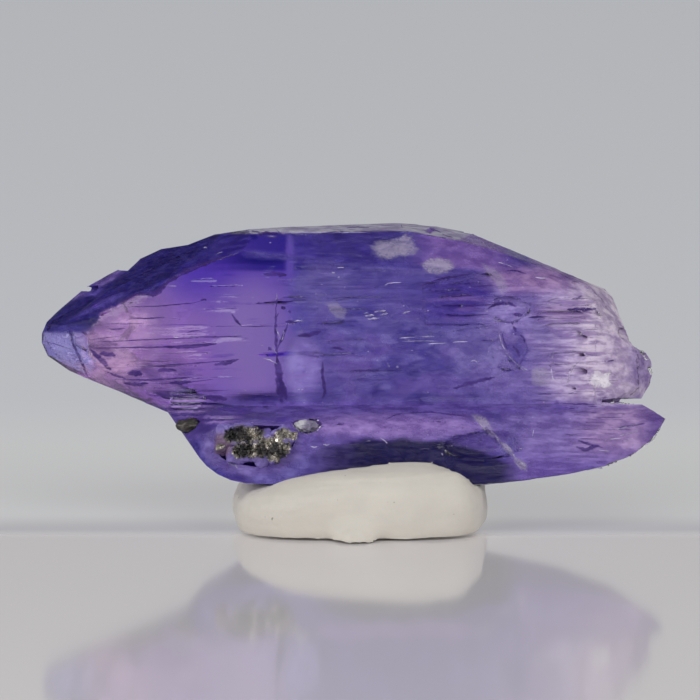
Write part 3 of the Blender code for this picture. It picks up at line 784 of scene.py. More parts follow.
def tanzanite_material(settings):
    """Clear absorbing stone with tinted zones, cloudy where it is frosted."""
    shader = Shader("tanzanite_finish")
    streaks = streak_group()
    dark = shader.group(streaks, along=0.22, across=4.2, detail=4.0, low=0.60, high=0.68, seed=3.0)
    cloud = shader.group(streaks, along=1.1, across=1.6, detail=4.0, low=0.35, high=0.65, seed=5.0)
    frost = shader.attribute("frost")
    tint = shader.attribute("tint", "Color")
    tint = shader.mix(dark, tint, shader.tinted(tint, (0.50, 0.42, 0.80)))
    mottled = shader.mix(cloud, (0.80, 0.78, 0.92), (1.0, 1.0, 1.0))
    tint = shader.mix(frost, tint, shader.tinted(tint, mottled))
    fine = shader.group(streaks, along=0.4, across=9.0, detail=3.0, low=0.2, high=0.8, seed=8.0)
    rough = shader.spread(frost, 0.0, 1.0, 0.02, 0.36)
    shader.set(base_color=tint, roughness=rough, ior=settings.ior, transmission_weight=1.0)
    shader.set(normal=shader.bump(fine, 0.02 * MM, shader.spread(frost, 0.0, 1.0, 0.12, 0.6)))
    absorption = shader.nodes.new("ShaderNodeVolumeAbsorption")
    absorption.inputs["Color"].default_value = (*settings.body, 1.0)
    absorption.inputs["Density"].default_value = settings.density
    shader.links.new(absorption.outputs["Volume"], shader.nodes["Material Output"].inputs["Volume"])
    return shader.material


class TANZANITE_OT_crystal(Operator):
    """Grows the fine relief of the crystal over the CAD solid and gives it its colour zones"""
    bl_idname = "tanzanite.crystal"
    bl_label = "Crystal"

    def execute(self, context):
        settings = context.scene.tanzanite.crystal
        obj = new_object("crystal_body", sliced_crystal(1.0))
        mesh = obj.data
        wear(mesh)
        points, normals = read_vectors(mesh, "co"), read_vectors(mesh, "normal")
        relief = crystal_relief(points, normals, settings.seed)
        mesh.vertices.foreach_set("co", (points - normals * (relief * MM)[:, None]).ravel())
        paint_stone(mesh, points, normals, settings)
        mesh.shade_smooth()
        mesh.set_sharp_from_angle(angle=CRYSTAL_CREASE)
        mesh.materials.append(tanzanite_material(settings))
        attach(obj, "root")
        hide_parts("tanzanite_crystal")
        return {"FINISHED"}


# Marks laid on the stone

def stone_tree():
    """The crystal's finished surface, to lay marks on."""
    body = bpy.data.objects.get("crystal_body")
    if body is None:
        raise RuntimeError("The crystal comes before its marks")
    bm = bmesh.new()
    bm.from_mesh(body.data)
    tree = BVHTree.FromBMesh(bm)
    bm.free()
    return tree


def find_on(tree, right, down):
    """The stone's surface behind one place on the squared paper, and the way it faces."""
    up = (FOOT_SQUARE - down) * SQUARE
    height = (up + FRONT_FOOT * math.sin(VIEW_TILT)) / math.cos(VIEW_TILT)
    place = Vector(((right - MIDDLE_SQUARE) * SQUARE, 0.0, height))
    hit, normal, _, _ = tree.ray_cast(place + TO_CAMERA * RAY_START, -TO_CAMERA)
    return hit, normal


def lay_grid(bm, tree, grid, lift, shade=0.5, closed=False):
    """Lays a grid of (right, down, fullness) on the stone as a thin closed lens."""
    layer = bm.verts.layers.float["fullness"]
    tone = bm.verts.layers.float["shade"]
    found = [[find_on(tree, right, down) for right, down, _ in line] for line in grid]
    if any(hit is None for line in found for hit, _ in line):
        return
    rows = []
    for line, hits in zip(grid, found):
        row = []
        for (_, _, full), (hit, normal) in zip(line, hits):
            pair = []
            for offset in (lift * full, -MARK_SINK * full):
                vert = bm.verts.new(hit + normal * offset)
                vert[layer] = full
                vert[tone] = shade
                pair.append(vert)
            row.append(pair)
        rows.append(row)
    wide = len(rows[0])
    for low, high in zip(rows, rows[1:]):
        for column in range(wide if closed else wide - 1):
            after = (column + 1) % wide
            for side in (0, 1):
                corners = [low[column][side], low[after][side], high[after][side], high[column][side]]
                bm.faces.new(reversed(corners) if side else corners)


def lay_ribbon(bm, tree, path, width, rng, lift=0.012, ragged=0.25):
    """A mark along a path of squares, tapered at both ends. The width is in mm as seen."""
    points = [Vector(p) for p in path]
    lengths = [(b - a).length for a, b in zip(points, points[1:])]
    whole = sum(lengths)
    count = max(6, int(whole / 2.5))
    grid = []
    for number in range(count + 1):
        share = number / count
        reach = share * whole
        index = 0
        while index < len(lengths) - 1 and reach > lengths[index]:
            reach -= lengths[index]
            index += 1
        run = (points[index + 1] - points[index]).normalized()
        place = points[index] + run * reach
        across = Vector((-run.y, run.x))
        swell = math.sin(math.pi * share) ** 0.6 if 0 < number < count else 0.0
        half = width * MM / SQUARE / 2 * swell * (1 + ragged * rng.uniform(-1, 1))
        drift = across * rng.uniform(-0.12, 0.12) * width * MM / SQUARE * swell
        ends = 0.0 if number in (0, count) else 1.0
        line = []
        for step in (-1, -0.5, 0, 0.5, 1):
            line.append((*(place + drift + across * half * step), ends * (1 - step * step)))
        grid.append(line)
    lay_grid(bm, tree, grid, lift * MM)


def lay_patch(bm, tree, outline, rng, lift=0.02, shade=0.5, ragged=0.05, spokes=72, rings=9, grow=1.0):
    """A patch with a ragged outline, given in squares."""
    middle = sum((Vector(p) for p in outline), Vector((0, 0))) / len(outline)
    seed = rng.uniform(0, 100)
    edge = []
    for spoke in range(spokes):
        place = spoke / spokes * len(outline)
        start, end = Vector(outline[int(place)]), Vector(outline[(int(place) + 1) % len(outline)])
        point = start.lerp(end, place - int(place))
        jitter = noise.noise(Vector((point.x * 0.35, point.y * 0.35, seed)))
        reach = grow + ragged * 2.5 * jitter + ragged * rng.uniform(-0.3, 0.3)
        edge.append(middle + (point - middle) * reach)
    grid = []
    for ring in range(rings + 1):
        share = ring / rings
        line = []
        for point in edge:
            place = middle + (point - middle) * share
            rise = 0.75 + 0.5 * noise.noise(Vector((place.x * 0.6, place.y * 0.6, seed)))
            line.append((place.x, place.y, (1 - share ** 3) * rise))
        grid.append(line)
    lay_grid(bm, tree, grid, lift * MM, shade, closed=True)


def start_marks():
    """An empty mesh for marks."""
    bm = bmesh.new()
    bm.verts.layers.float.new("fullness")
    bm.verts.layers.float.new("shade")
    return bm


def finish_marks(name, bm, material):
    """Closes the marks' meshes and makes them one piece on the stone."""
    bmesh.ops.remove_doubles(bm, verts=bm.verts, dist=1e-8)
    bmesh.ops.dissolve_degenerate(bm, edges=bm.edges, dist=1e-8)
    bmesh.ops.triangulate(bm, faces=bm.faces)
    bmesh.ops.recalc_face_normals(bm, faces=bm.faces)
    obj = new_object(name, bm)
    obj.data.shade_smooth()
    obj.data.materials.append(material)
    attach(obj, "root")


# Dark etch marks: path in squares and width in mm
ETCH_MARKS = (
    (((118, 307), (160, 306), (192, 303), (205, 300)), 0.055), (((200, 300), (204, 299.5), (207, 300)), 0.11),
    (((128, 318), (147, 318.5), (166, 317)), 0.09), (((104, 323), (125, 324), (146, 323)), 0.05),
    (((106, 329), (118, 329), (127, 328)), 0.08), (((92, 342), (120, 341), (160, 339), (201, 338)), 0.06),
    (((92, 348.5), (130, 347.5), (165, 347), (217, 343)), 0.09),
    (((163, 347), (190, 347), (218, 343.5)), 0.20),
    (((98, 353), (104, 353.5), (110, 354), (117, 356)), 0.28), (((180, 337), (210, 337), (243, 336)), 0.08),
    (((186, 333), (192, 331), (200, 330)), 0.06), (((146, 366), (185, 364), (236, 360)), 0.07),
    (((213, 364.5), (226, 363), (240, 359)), 0.20), (((126, 374), (135, 372.5), (144, 374.5)), 0.34),
    (((156, 371), (166, 369.5), (178, 371)), 0.24), (((112, 379.5), (150, 380), (196, 377)), 0.10),
    (((122, 383), (138, 384.5), (150, 383)), 0.20), (((168, 382), (180, 383), (192, 381)), 0.22),
    (((150, 384), (184, 383), (215, 379)), 0.06), (((148, 395.5), (175, 396), (204, 394.5)), 0.12),
    (((158, 391), (180, 392), (232, 390)), 0.05), (((203, 397), (215, 398), (228, 399)), 0.30),
    (((231, 313), (235, 319), (242, 327)), 0.14), (((240, 326.5), (256, 326.5), (273, 326)), 0.05),
    (((262, 274), (274, 274), (288, 275)), 0.22), (((296, 336), (310, 335), (322, 331)), 0.24),
    (((330, 347), (338, 348), (345, 350)), 0.13), (((418, 287), (433, 281), (447, 277.5), (475, 273)), 0.10),
    (((452, 389), (470, 383), (496, 377)), 0.22), (((392, 414), (430, 412), (472, 417)), 0.09),
    (((384, 421), (392, 416), (404, 413)), 0.07), (((345, 227.3), (357, 226.7), (371, 227.3)), 0.10),
    (((320, 233), (338, 231.8), (352, 231)), 0.07), (((352, 231.3), (375, 230.9), (404, 231.2)), 0.10),
    (((258, 233), (268, 232.5), (278, 234)), 0.16), (((250, 231), (258, 232), (262, 236)), 0.14),
    (((428, 227.6), (436, 230), (443, 233)), 0.09), (((441, 233), (447, 235.5), (455, 238)), 0.07),
    (((274, 227.5), (279, 232), (284, 236)), 0.05), (((401, 223.6), (402, 226), (402.5, 228)), 0.05),
    (((70, 328), (73, 343), (80, 359), (88, 378)), 0.15), (((42, 341), (55, 344), (73, 350)), 0.045),
    (((89, 348), (97, 356), (105, 364), (112, 371)), 0.30), (((73, 343), (80, 348), (89, 352)), 0.06),
    (((106, 371), (116, 376), (127, 379)), 0.14), (((88, 340), (104, 338), (121, 336)), 0.04),
    (((505, 270), (518, 271), (528, 274)), 0.10), (((570, 300), (578, 298), (584, 295)), 0.14),
    (((566, 309), (580, 310), (598, 309)), 0.22), (((527, 318), (536, 317), (546, 317)), 0.14),
    (((574, 446), (585, 449), (600, 445)), 0.26), (((576, 440), (586, 443), (604, 448)), 0.16),
    (((617, 428), (630, 426), (646, 423)), 0.12), (((585, 402), (600, 401), (622, 400)), 0.12),
    (((600, 361), (608, 361), (616, 360)), 0.10), (((572, 405), (580, 404), (590, 404)), 0.10),
    (((112, 307), (136, 293.5), (155, 294.5), (167, 282), (184, 272), (210, 261), (240, 253)), 0.20),
    (((502, 332), (504, 342), (508, 350)), 0.10), (((511, 322), (516, 330), (515, 337)), 0.16),
    (((512, 345), (518, 351), (520, 358)), 0.18), (((519, 334), (524, 338), (525, 344)), 0.14),
    (((487, 309), (497, 304), (508, 303), (518, 307)), 0.20), (((513, 314), (518, 315), (524, 314)), 0.24),
    (((138, 292), (155, 294), (170, 280)), 0.30), (((180, 272), (200, 265), (214, 260)), 0.26),
    (((466, 286), (480, 286), (497, 285)), 0.06), (((451, 305), (470, 306), (497, 304)), 0.09),
    (((440, 315), (465, 316), (490, 314)), 0.10), (((330, 299), (345, 297), (366, 298)), 0.05),
)
# Fibres of the broken right end are many; they are drawn at random inside these rows and columns
FIBRE_FIELDS = ((300, 396, 528, 628), (404, 440, 560, 640))

# Healed cracks, painted bright as highlights: path in squares and width in mm
GLINTS = (
    (((364, 316), (369, 315.5), (375, 315)), 0.16), (((373, 312), (380, 311), (387, 310.5)), 0.18),
    (((366, 319.5), (374, 318.5), (381, 318)), 0.14), (((379, 315), (384, 314), (389, 313)), 0.18),
    (((363, 313.5), (366, 313), (369, 313)), 0.12), (((386, 283.5), (395, 282.6), (403, 282.3)), 0.07),
    (((384, 286), (387, 284), (389, 282.5)), 0.07), (((292, 322), (298, 320.5), (304, 321)), 0.10),
    (((398, 338.2), (408, 337.6), (416, 337.2)), 0.08), (((419, 337), (428, 336.5), (436, 336.4)), 0.09),
    (((400, 341.6), (418, 341), (438, 341)), 0.05), (((427, 344), (438, 343.4), (448, 343)), 0.09),
    (((451, 342.4), (460, 341.8), (469, 341.6)), 0.08), (((402, 314), (406, 312), (411, 311)), 0.14),
    (((336, 268), (341, 267.3), (345, 267.5)), 0.09), (((292, 269), (296, 268.5), (299, 269)), 0.05),
    (((331, 273), (334, 272.5), (336, 273)), 0.12), (((276, 292), (277, 297), (275, 302)), 0.05),
    (((275, 326), (278, 333), (281, 341)), 0.07), (((283, 328), (284, 334), (281, 342)), 0.06),
    (((262, 358), (270, 360), (279, 365)), 0.08), (((272, 344), (274, 350), (278, 355)), 0.06),
    (((566, 387), (570, 374), (575, 365), (582, 359)), 0.11), (((551, 367), (552, 375), (554, 382)), 0.12),
    (((567, 350), (572, 350.5), (578, 352)), 0.06), (((531, 440), (533, 432), (534, 426)), 0.05),
    (((597, 450), (605, 450.5), (612, 452)), 0.09), (((618, 436), (628, 433.5), (640, 430)), 0.14),
    (((612, 430), (625, 427.5), (640, 424)), 0.10), (((620, 441), (627, 440), (634, 438)), 0.10),
    (((379, 437), (384, 440), (388, 444)), 0.12), (((366, 441), (369, 440.5), (371, 441)), 0.10),
    (((441, 452), (442, 454), (443, 456)), 0.10), (((418, 449), (424, 448.5), (430, 449)), 0.07),
    (((172, 398), (186, 398.5), (202, 398)), 0.12), (((172, 402.5), (186, 403), (202, 402.5)), 0.07),
    (((172, 408), (186, 408.5), (200, 408)), 0.12), (((210, 418), (222, 418.5), (236, 418)), 0.08),
    (((162, 285.5), (172, 286), (178, 286)), 0.06), (((215, 254.5), (219, 253), (223, 251.5)), 0.06),
    (((173, 337.5), (176, 337.3), (179, 337.6)), 0.09), (((203, 248), (205, 247), (207, 248)), 0.08),
    (((497, 262), (506, 264), (514, 268)), 0.07), (((504, 308), (507, 306), (510, 304)), 0.07),
    (((534, 277), (542, 278), (550, 278)), 0.12), (((470, 362), (474, 360), (478, 363)), 0.08),
    (((396, 366), (397, 367), (399, 368)), 0.07), (((387, 362), (388.5, 365), (390, 368)), 0.06),
    (((226, 462), (233, 464), (240, 463)), 0.16), (((232, 459), (236, 464), (238, 469)), 0.14),
    (((496, 437), (498, 441), (501, 444)), 0.12), (((505, 447), (508, 448), (511, 451)), 0.14),
    (((513, 453), (514, 457), (517, 459)), 0.12), (((519, 462), (522, 463), (525, 467)), 0.14),
    (((478, 422), (483, 427), (486, 432)), 0.08), (((310, 446), (314, 447), (318, 446.5)), 0.10),
    (((322, 444), (326, 445), (331, 444)), 0.10), (((603, 440), (612, 439), (622, 438)), 0.10),
    (((499, 329), (501, 342), (507, 354), (517, 364), (526, 372)), 0.07),
    (((521, 366), (525, 369), (529, 371)), 0.14), (((489, 318), (497, 321), (506, 320)), 0.06),
)

# Frosted patches: outline in squares and how white they are
PATCHES = (
    (((371, 245), (377, 240), (387, 240), (397, 238), (406, 233), (412, 236), (414, 244), (420, 249),
      (417, 254), (408, 256), (398, 257), (388, 260), (378, 257), (372, 252)), 0.52),
    (((421, 263), (428, 258), (437, 257), (450, 259), (455, 263), (454, 269), (447, 273), (437, 275),
      (428, 273), (422, 268)), 0.54),
    (((590, 373), (597, 369), (604, 373), (612, 370), (610, 380), (614, 386), (604, 389), (595, 388),
      (589, 384)), 1.0),
    (((531, 368), (541, 366), (550, 370), (553, 380), (548, 388), (538, 387), (531, 383)), 0.38),
    (((470, 414), (478, 414), (486, 417), (492, 427), (500, 440), (491, 437), (482, 428), (475, 421)), 0.48),
    (((499, 441), (506, 443), (512, 449), (515, 457), (508, 454), (502, 448)), 0.44),
    (((513, 456), (521, 459), (528, 465), (527, 471), (520, 470), (514, 463)), 0.44),
    (((586, 292), (600, 290), (612, 297), (618, 308), (612, 318), (598, 316), (588, 306)), 0.34),
    (((480, 262), (492, 266), (505, 276), (510, 290), (502, 296), (496, 284), (486, 272)), 0.28),
    (((326, 301), (338, 303), (347, 310), (345, 320), (336, 318), (328, 310)), 0.30),
    (((604, 330), (618, 326), (628, 340), (622, 352), (608, 350)), 0.22),
)

# Facets of the chisel tip that catch the light, as a painted reflection of the bright left side: outline in
# squares and how blue they are
TIP_FACETS = (
    (((43, 336), (52, 331), (61, 328), (68, 328), (72, 343), (79, 358), (86, 375), (72, 369), (57, 361),
      (47, 354), (44, 346)), 1.0),
    (((75, 345), (82, 349), (88, 353), (93, 361), (96, 367), (90, 376), (82, 362)), 0.95),
    (((71, 328), (80, 331), (88, 337), (88, 350), (75, 343)), 0.30),
    (((52, 360), (62, 364), (74, 370), (88, 377), (100, 381), (112, 386), (98, 384), (84, 378),
      (66, 369)), 0.05),
)

# The crack across the stone and its side cracks: path in squares and width in mm
CRACK = (
    (((276, 292), (277, 302), (275, 312)), 0.06),
    (((276, 308), (275.5, 325), (276, 345), (277.5, 366)), 0.16),
    (((277, 350), (282, 338), (286, 329), (288, 322)), 0.13), (((284, 322), (290, 322), (298, 322.5)), 0.16),
    (((277, 356), (278, 370), (280, 386), (282, 404)), 0.42), (((279, 376), (283, 388), (287, 402)), 0.30),
    (((268, 347), (270, 349), (272, 350)), 0.22), (((281, 306), (283, 308), (286, 308)), 0.18),
    (((288, 311), (290, 312), (291, 313)), 0.10), (((273, 318), (277, 316), (279, 312)), 0.05),
    (((323, 360), (322, 375), (325, 392), (322, 400)), 0.20),
)


def scaled(shade, factor):
    """A colour made darker or lighter."""
    return [min(1.0, value * factor) for value in shade]


def frost_material(settings):
    """Pale bruised stone, broken by clouds and grit."""
    shader = Shader("frost_finish")
    streaks = streak_group()
    fibre = shader.group(streaks, along=0.7, across=5.5, detail=4.0, low=0.36, high=0.66, seed=1.0)
    grit = shader.group(streaks, along=5.0, across=6.0, detail=2.0, low=0.3, high=0.7, seed=2.0)
    cloud = shader.group(streaks, along=1.6, across=2.4, detail=3.0, low=0.3, high=0.65, seed=12.0)
    shade = shader.attribute("shade")
    rim = shader.group(rim_group(), reach=0.7)
    cover = shader.math("MULTIPLY", rim, shader.spread(shade, 0.1, 0.9, 0.2, 0.85))
    clouded = shader.spread(cloud, 0.0, 1.0, 0.55, 0.95)
    broken = shader.math("ADD", shader.math("MULTIPLY", grit, 0.08), clouded)
    tone = shader.mix(fibre, scaled(settings.frost, 0.85), scaled(settings.frost, 1.1))
    tone = shader.mix(shader.spread(shade, 0.7, 1.0), tone, (0.98, 0.92, 1.0))
    shader.set(base_color=tone, roughness=0.55, alpha=shader.math("MULTIPLY", cover, broken, clamp=True))
    shader.set(normal=shader.bump(grit, 0.02 * MM, 0.4))
    return shader.material


def skin_material(settings):
    """The pale fibres and clouds of the frosted skin."""
    shader = Shader("fibre_finish")
    streaks = streak_group()
    fibre = shader.group(streaks, along=0.5, across=5.5, detail=5.0, low=0.38, high=0.62, seed=1.0)
    cloud = shader.group(streaks, along=1.3, across=2.0, detail=5.0, low=0.30, high=0.70, seed=6.0)
    grit = shader.group(streaks, along=3.0, across=8.0, detail=3.0, low=0.3, high=0.7, seed=2.0)
    skin, fibrous = shader.attribute("skin"), shader.attribute("fibrous")
    pattern = shader.mix(fibrous, cloud, fibre)
    thick = shader.spread(pattern, 0.0, 1.0, 0.72, 1.18)
    thick = shader.math("MULTIPLY", thick, shader.spread(grit, 0.0, 1.0, 0.85, 1.1))
    alpha = shader.math("MULTIPLY", skin, thick, clamp=True)
    haze = shader.attribute("haze", "Color")
    tone = shader.mix(pattern, shader.tinted(haze, (0.66, 0.56, 0.82)), haze)
    tone = shader.mix(shader.math("MULTIPLY", grit, 0.07), tone, settings.frost)
    shader.set(base_color=tone, roughness=0.5, alpha=alpha, normal=shader.bump(pattern, 0.03 * MM, 0.7))
    shader.set(specular_ior_level=0.12)
    return shader.material


def tip_sheen_material(settings):
    """The light blue sheen of the chisel tip, a painted reflection of the bright left side."""
    shader = Shader("tip_sheen_finish")
    streaks = streak_group()
    fine = shader.group(streaks, along=0.5, across=5.0, detail=3.0, low=0.3, high=0.7, seed=9.0)
    tone = shader.mix(shader.attribute("shade"), (0.20, 0.10, 0.42), settings.tip_sheen_blue)
    tone = shader.mix(fine, shader.tinted(tone, (0.86, 0.84, 0.94)), tone)
    rim = shader.group(rim_group(), reach=0.2)
    shader.set(base_color=tone, roughness=0.22, alpha=shader.math("MULTIPLY", rim, 0.93))
    return shader.material


def etch_material(settings):
    """Dark, slightly see-through etch marks."""
    shader = Shader("etch_finish")
    grit = shader.group(streak_group(), along=1.5, across=5.0, detail=2.0, low=0.25, high=0.7, seed=4.0)
    tone = shader.mix(grit, settings.etch, scaled(settings.etch, 2.0))
    rim = shader.group(rim_group(), reach=0.8)
    alpha = shader.math("MULTIPLY", rim, shader.spread(grit, 0.0, 1.0, 0.8, 0.45))
    shader.set(base_color=tone, roughness=0.4, alpha=alpha, specular_ior_level=0.1)
    return shader.material


def glint_material(settings):
    """Healed cracks painted bright as highlights, letting some stone show."""
    shader = Shader("glint_finish")
    grit = shader.group(streak_group(), along=2.0, across=6.0, detail=2.0, low=0.3, high=0.7, seed=7.0)
    tone = shader.mix(grit, scaled(settings.glint, 0.7), settings.glint)
    rim = shader.group(rim_group(), reach=0.9)
    alpha = shader.math("MULTIPLY", rim, shader.spread(grit, 0.0, 1.0, 0.3, 0.85))
    shader.set(base_color=tone, roughness=0.35, alpha=alpha)
    return shader.material


class TANZANITE_OT_marks(Operator):
    """Lays etch marks, glints, frosted patches and the crack on the stone"""
    bl_idname = "tanzanite.marks"
    bl_label = "Marks"

    def execute(self, context):
        settings = context.scene.tanzanite.marks
        tree = stone_tree()
        rng = random.Random(11)
        etched = etch_material(settings)
        self.etch(tree, rng, etched)
        self.crack(tree, rng, etched)
        self.glints(tree, rng, glint_material(settings))

        bm = start_marks()
        for outline, white in PATCHES:
            lay_patch(bm, tree, outline, rng, shade=white, grow=1.14)
        finish_marks("frosted_patches", bm, frost_material(settings))

        bm = start_marks()
        for outline, white in TIP_FACETS:
            lay_patch(bm, tree, outline, rng, lift=0.005, shade=white, ragged=0.0, spokes=84, rings=12)
        finish_marks("tip_sheen", bm, tip_sheen_material(settings))

        skin = skin_material(settings)
        self.add_skin("frosted_skin_front", -1, skin)
        self.add_skin("frosted_skin_back", 1, skin)
        return {"FINISHED"}

    def etch(self, tree, rng, material):
        bm = start_marks()
        for path, width in ETCH_MARKS:
            lay_ribbon(bm, tree, path, width, rng)
        for top, bottom, left, end in FIBRE_FIELDS:
            for _ in range(FIBRES_IN_FIELD):
                down = rng.uniform(top, bottom)
                start = rng.uniform(left, end - 30)
                length = rng.uniform(8, 36)
                halfway = (start + length / 2, down + rng.uniform(-1, 1))
                path = ((start, down), halfway, (start + length, down))
                lay_ribbon(bm, tree, path, rng.uniform(0.02, 0.06), rng)
        finish_marks("etch_marks", bm, material)

    def crack(self, tree, rng, material):
        bm = start_marks()
        for path, width in CRACK:
            lay_ribbon(bm, tree, path, width, rng, ragged=0.35)
        finish_marks("crack_vein", bm, material)

    def glints(self, tree, rng, material):
        """The healed cracks painted bright as highlights, and tiny painted sparkles strewn over the middle.
        """
        bm = start_marks()
        for path, width in GLINTS:
            lay_ribbon(bm, tree, path, width * 0.7, rng, lift=0.018, ragged=0.4)
        for _ in range(GLINT_SPECKS):
            right, down = rng.uniform(235, 600), rng.gauss(335, 60)
            if 232 < down < 470:
                size = rng.uniform(0.3, 1.3)
                halfway = (right + size, down + rng.uniform(-0.5, 0.5))
                path = ((right, down), halfway, (right + 2 * size, down))
                lay_ribbon(bm, tree, path, rng.uniform(0.02, 0.06), rng)
        finish_marks("glints", bm, material)

    def add_skin(self, name, side, material):
        """A very thin skin over one side's frosted parts, for their colour and pale fibres."""
        bm = bmesh.new()
        bm.from_mesh(bpy.data.objects["crystal_body"].data)
        layer = bm.verts.layers.float["skin"]
        bare = []
        for face in bm.faces:
            middle = face.calc_center_median()
            depth = middle.y - STONE_LEAN * middle.z - STONE_MIDDLE
            if depth * side < 0 or max(vert[layer] for vert in face.verts) < BARE_SHARE:
                bare.append(face)
        bmesh.ops.delete(bm, geom=bare, context="FACES")
        bm.normal_update()
        rims = [edge for edge in bm.edges if edge.is_boundary]
        copied = bmesh.ops.duplicate(bm, geom=bm.faces[:])
        twins = copied["vert_map"]
        above = {vert: twins[vert] for edge in rims for vert in edge.verts}
        upper = {face for face in copied["geom"] if isinstance(face, bmesh.types.BMFace)}
        for vert in {vert for face in upper for vert in face.verts}:
            vert.co += vert.normal * SKIN_STEP
        for vert in bm.verts:
            vert.co += vert.normal * SKIN_STEP
        lower = [face for face in bm.faces if face not in upper]
        for edge in rims:
            first, second = edge.link_loops[0].vert, edge.link_loops[0].link_loop_next.vert
            bm.faces.new((second, first, above[first], above[second]))
        bmesh.ops.reverse_faces(bm, faces=lower)
        obj = new_object(name, bm)
        obj.data.shade_smooth()
        obj.data.materials.append(material)
        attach(obj, "root")


# The grains

# Patches of bare ore, and then of the stone grown over it: middle and size in squares, and colour
ORE = (((244, 434), (20, 8)), ((245, 450), (13, 8)), ((273, 448), (17, 12)), ((288, 434), (14, 4)),
       ((219, 447), (5, 3)))
GANGUE = (((258, 449), (9, 9), (0.30, 0.25, 0.44)), ((221, 445), (12, 12), (0.17, 0.10, 0.20)))
# Painted shade in hollows of the ore: middle and size in squares, how soft the border is, and how dark
HOLLOW_SHADE = (((243, 450), (11, 6.5), 0.2, 0.8), ((232, 434), (8, 8), 0.3, 0.7))
# Where the milky grain turns white: from and to, right of its slanting middle line
MILKY_TURN = (307, 302)


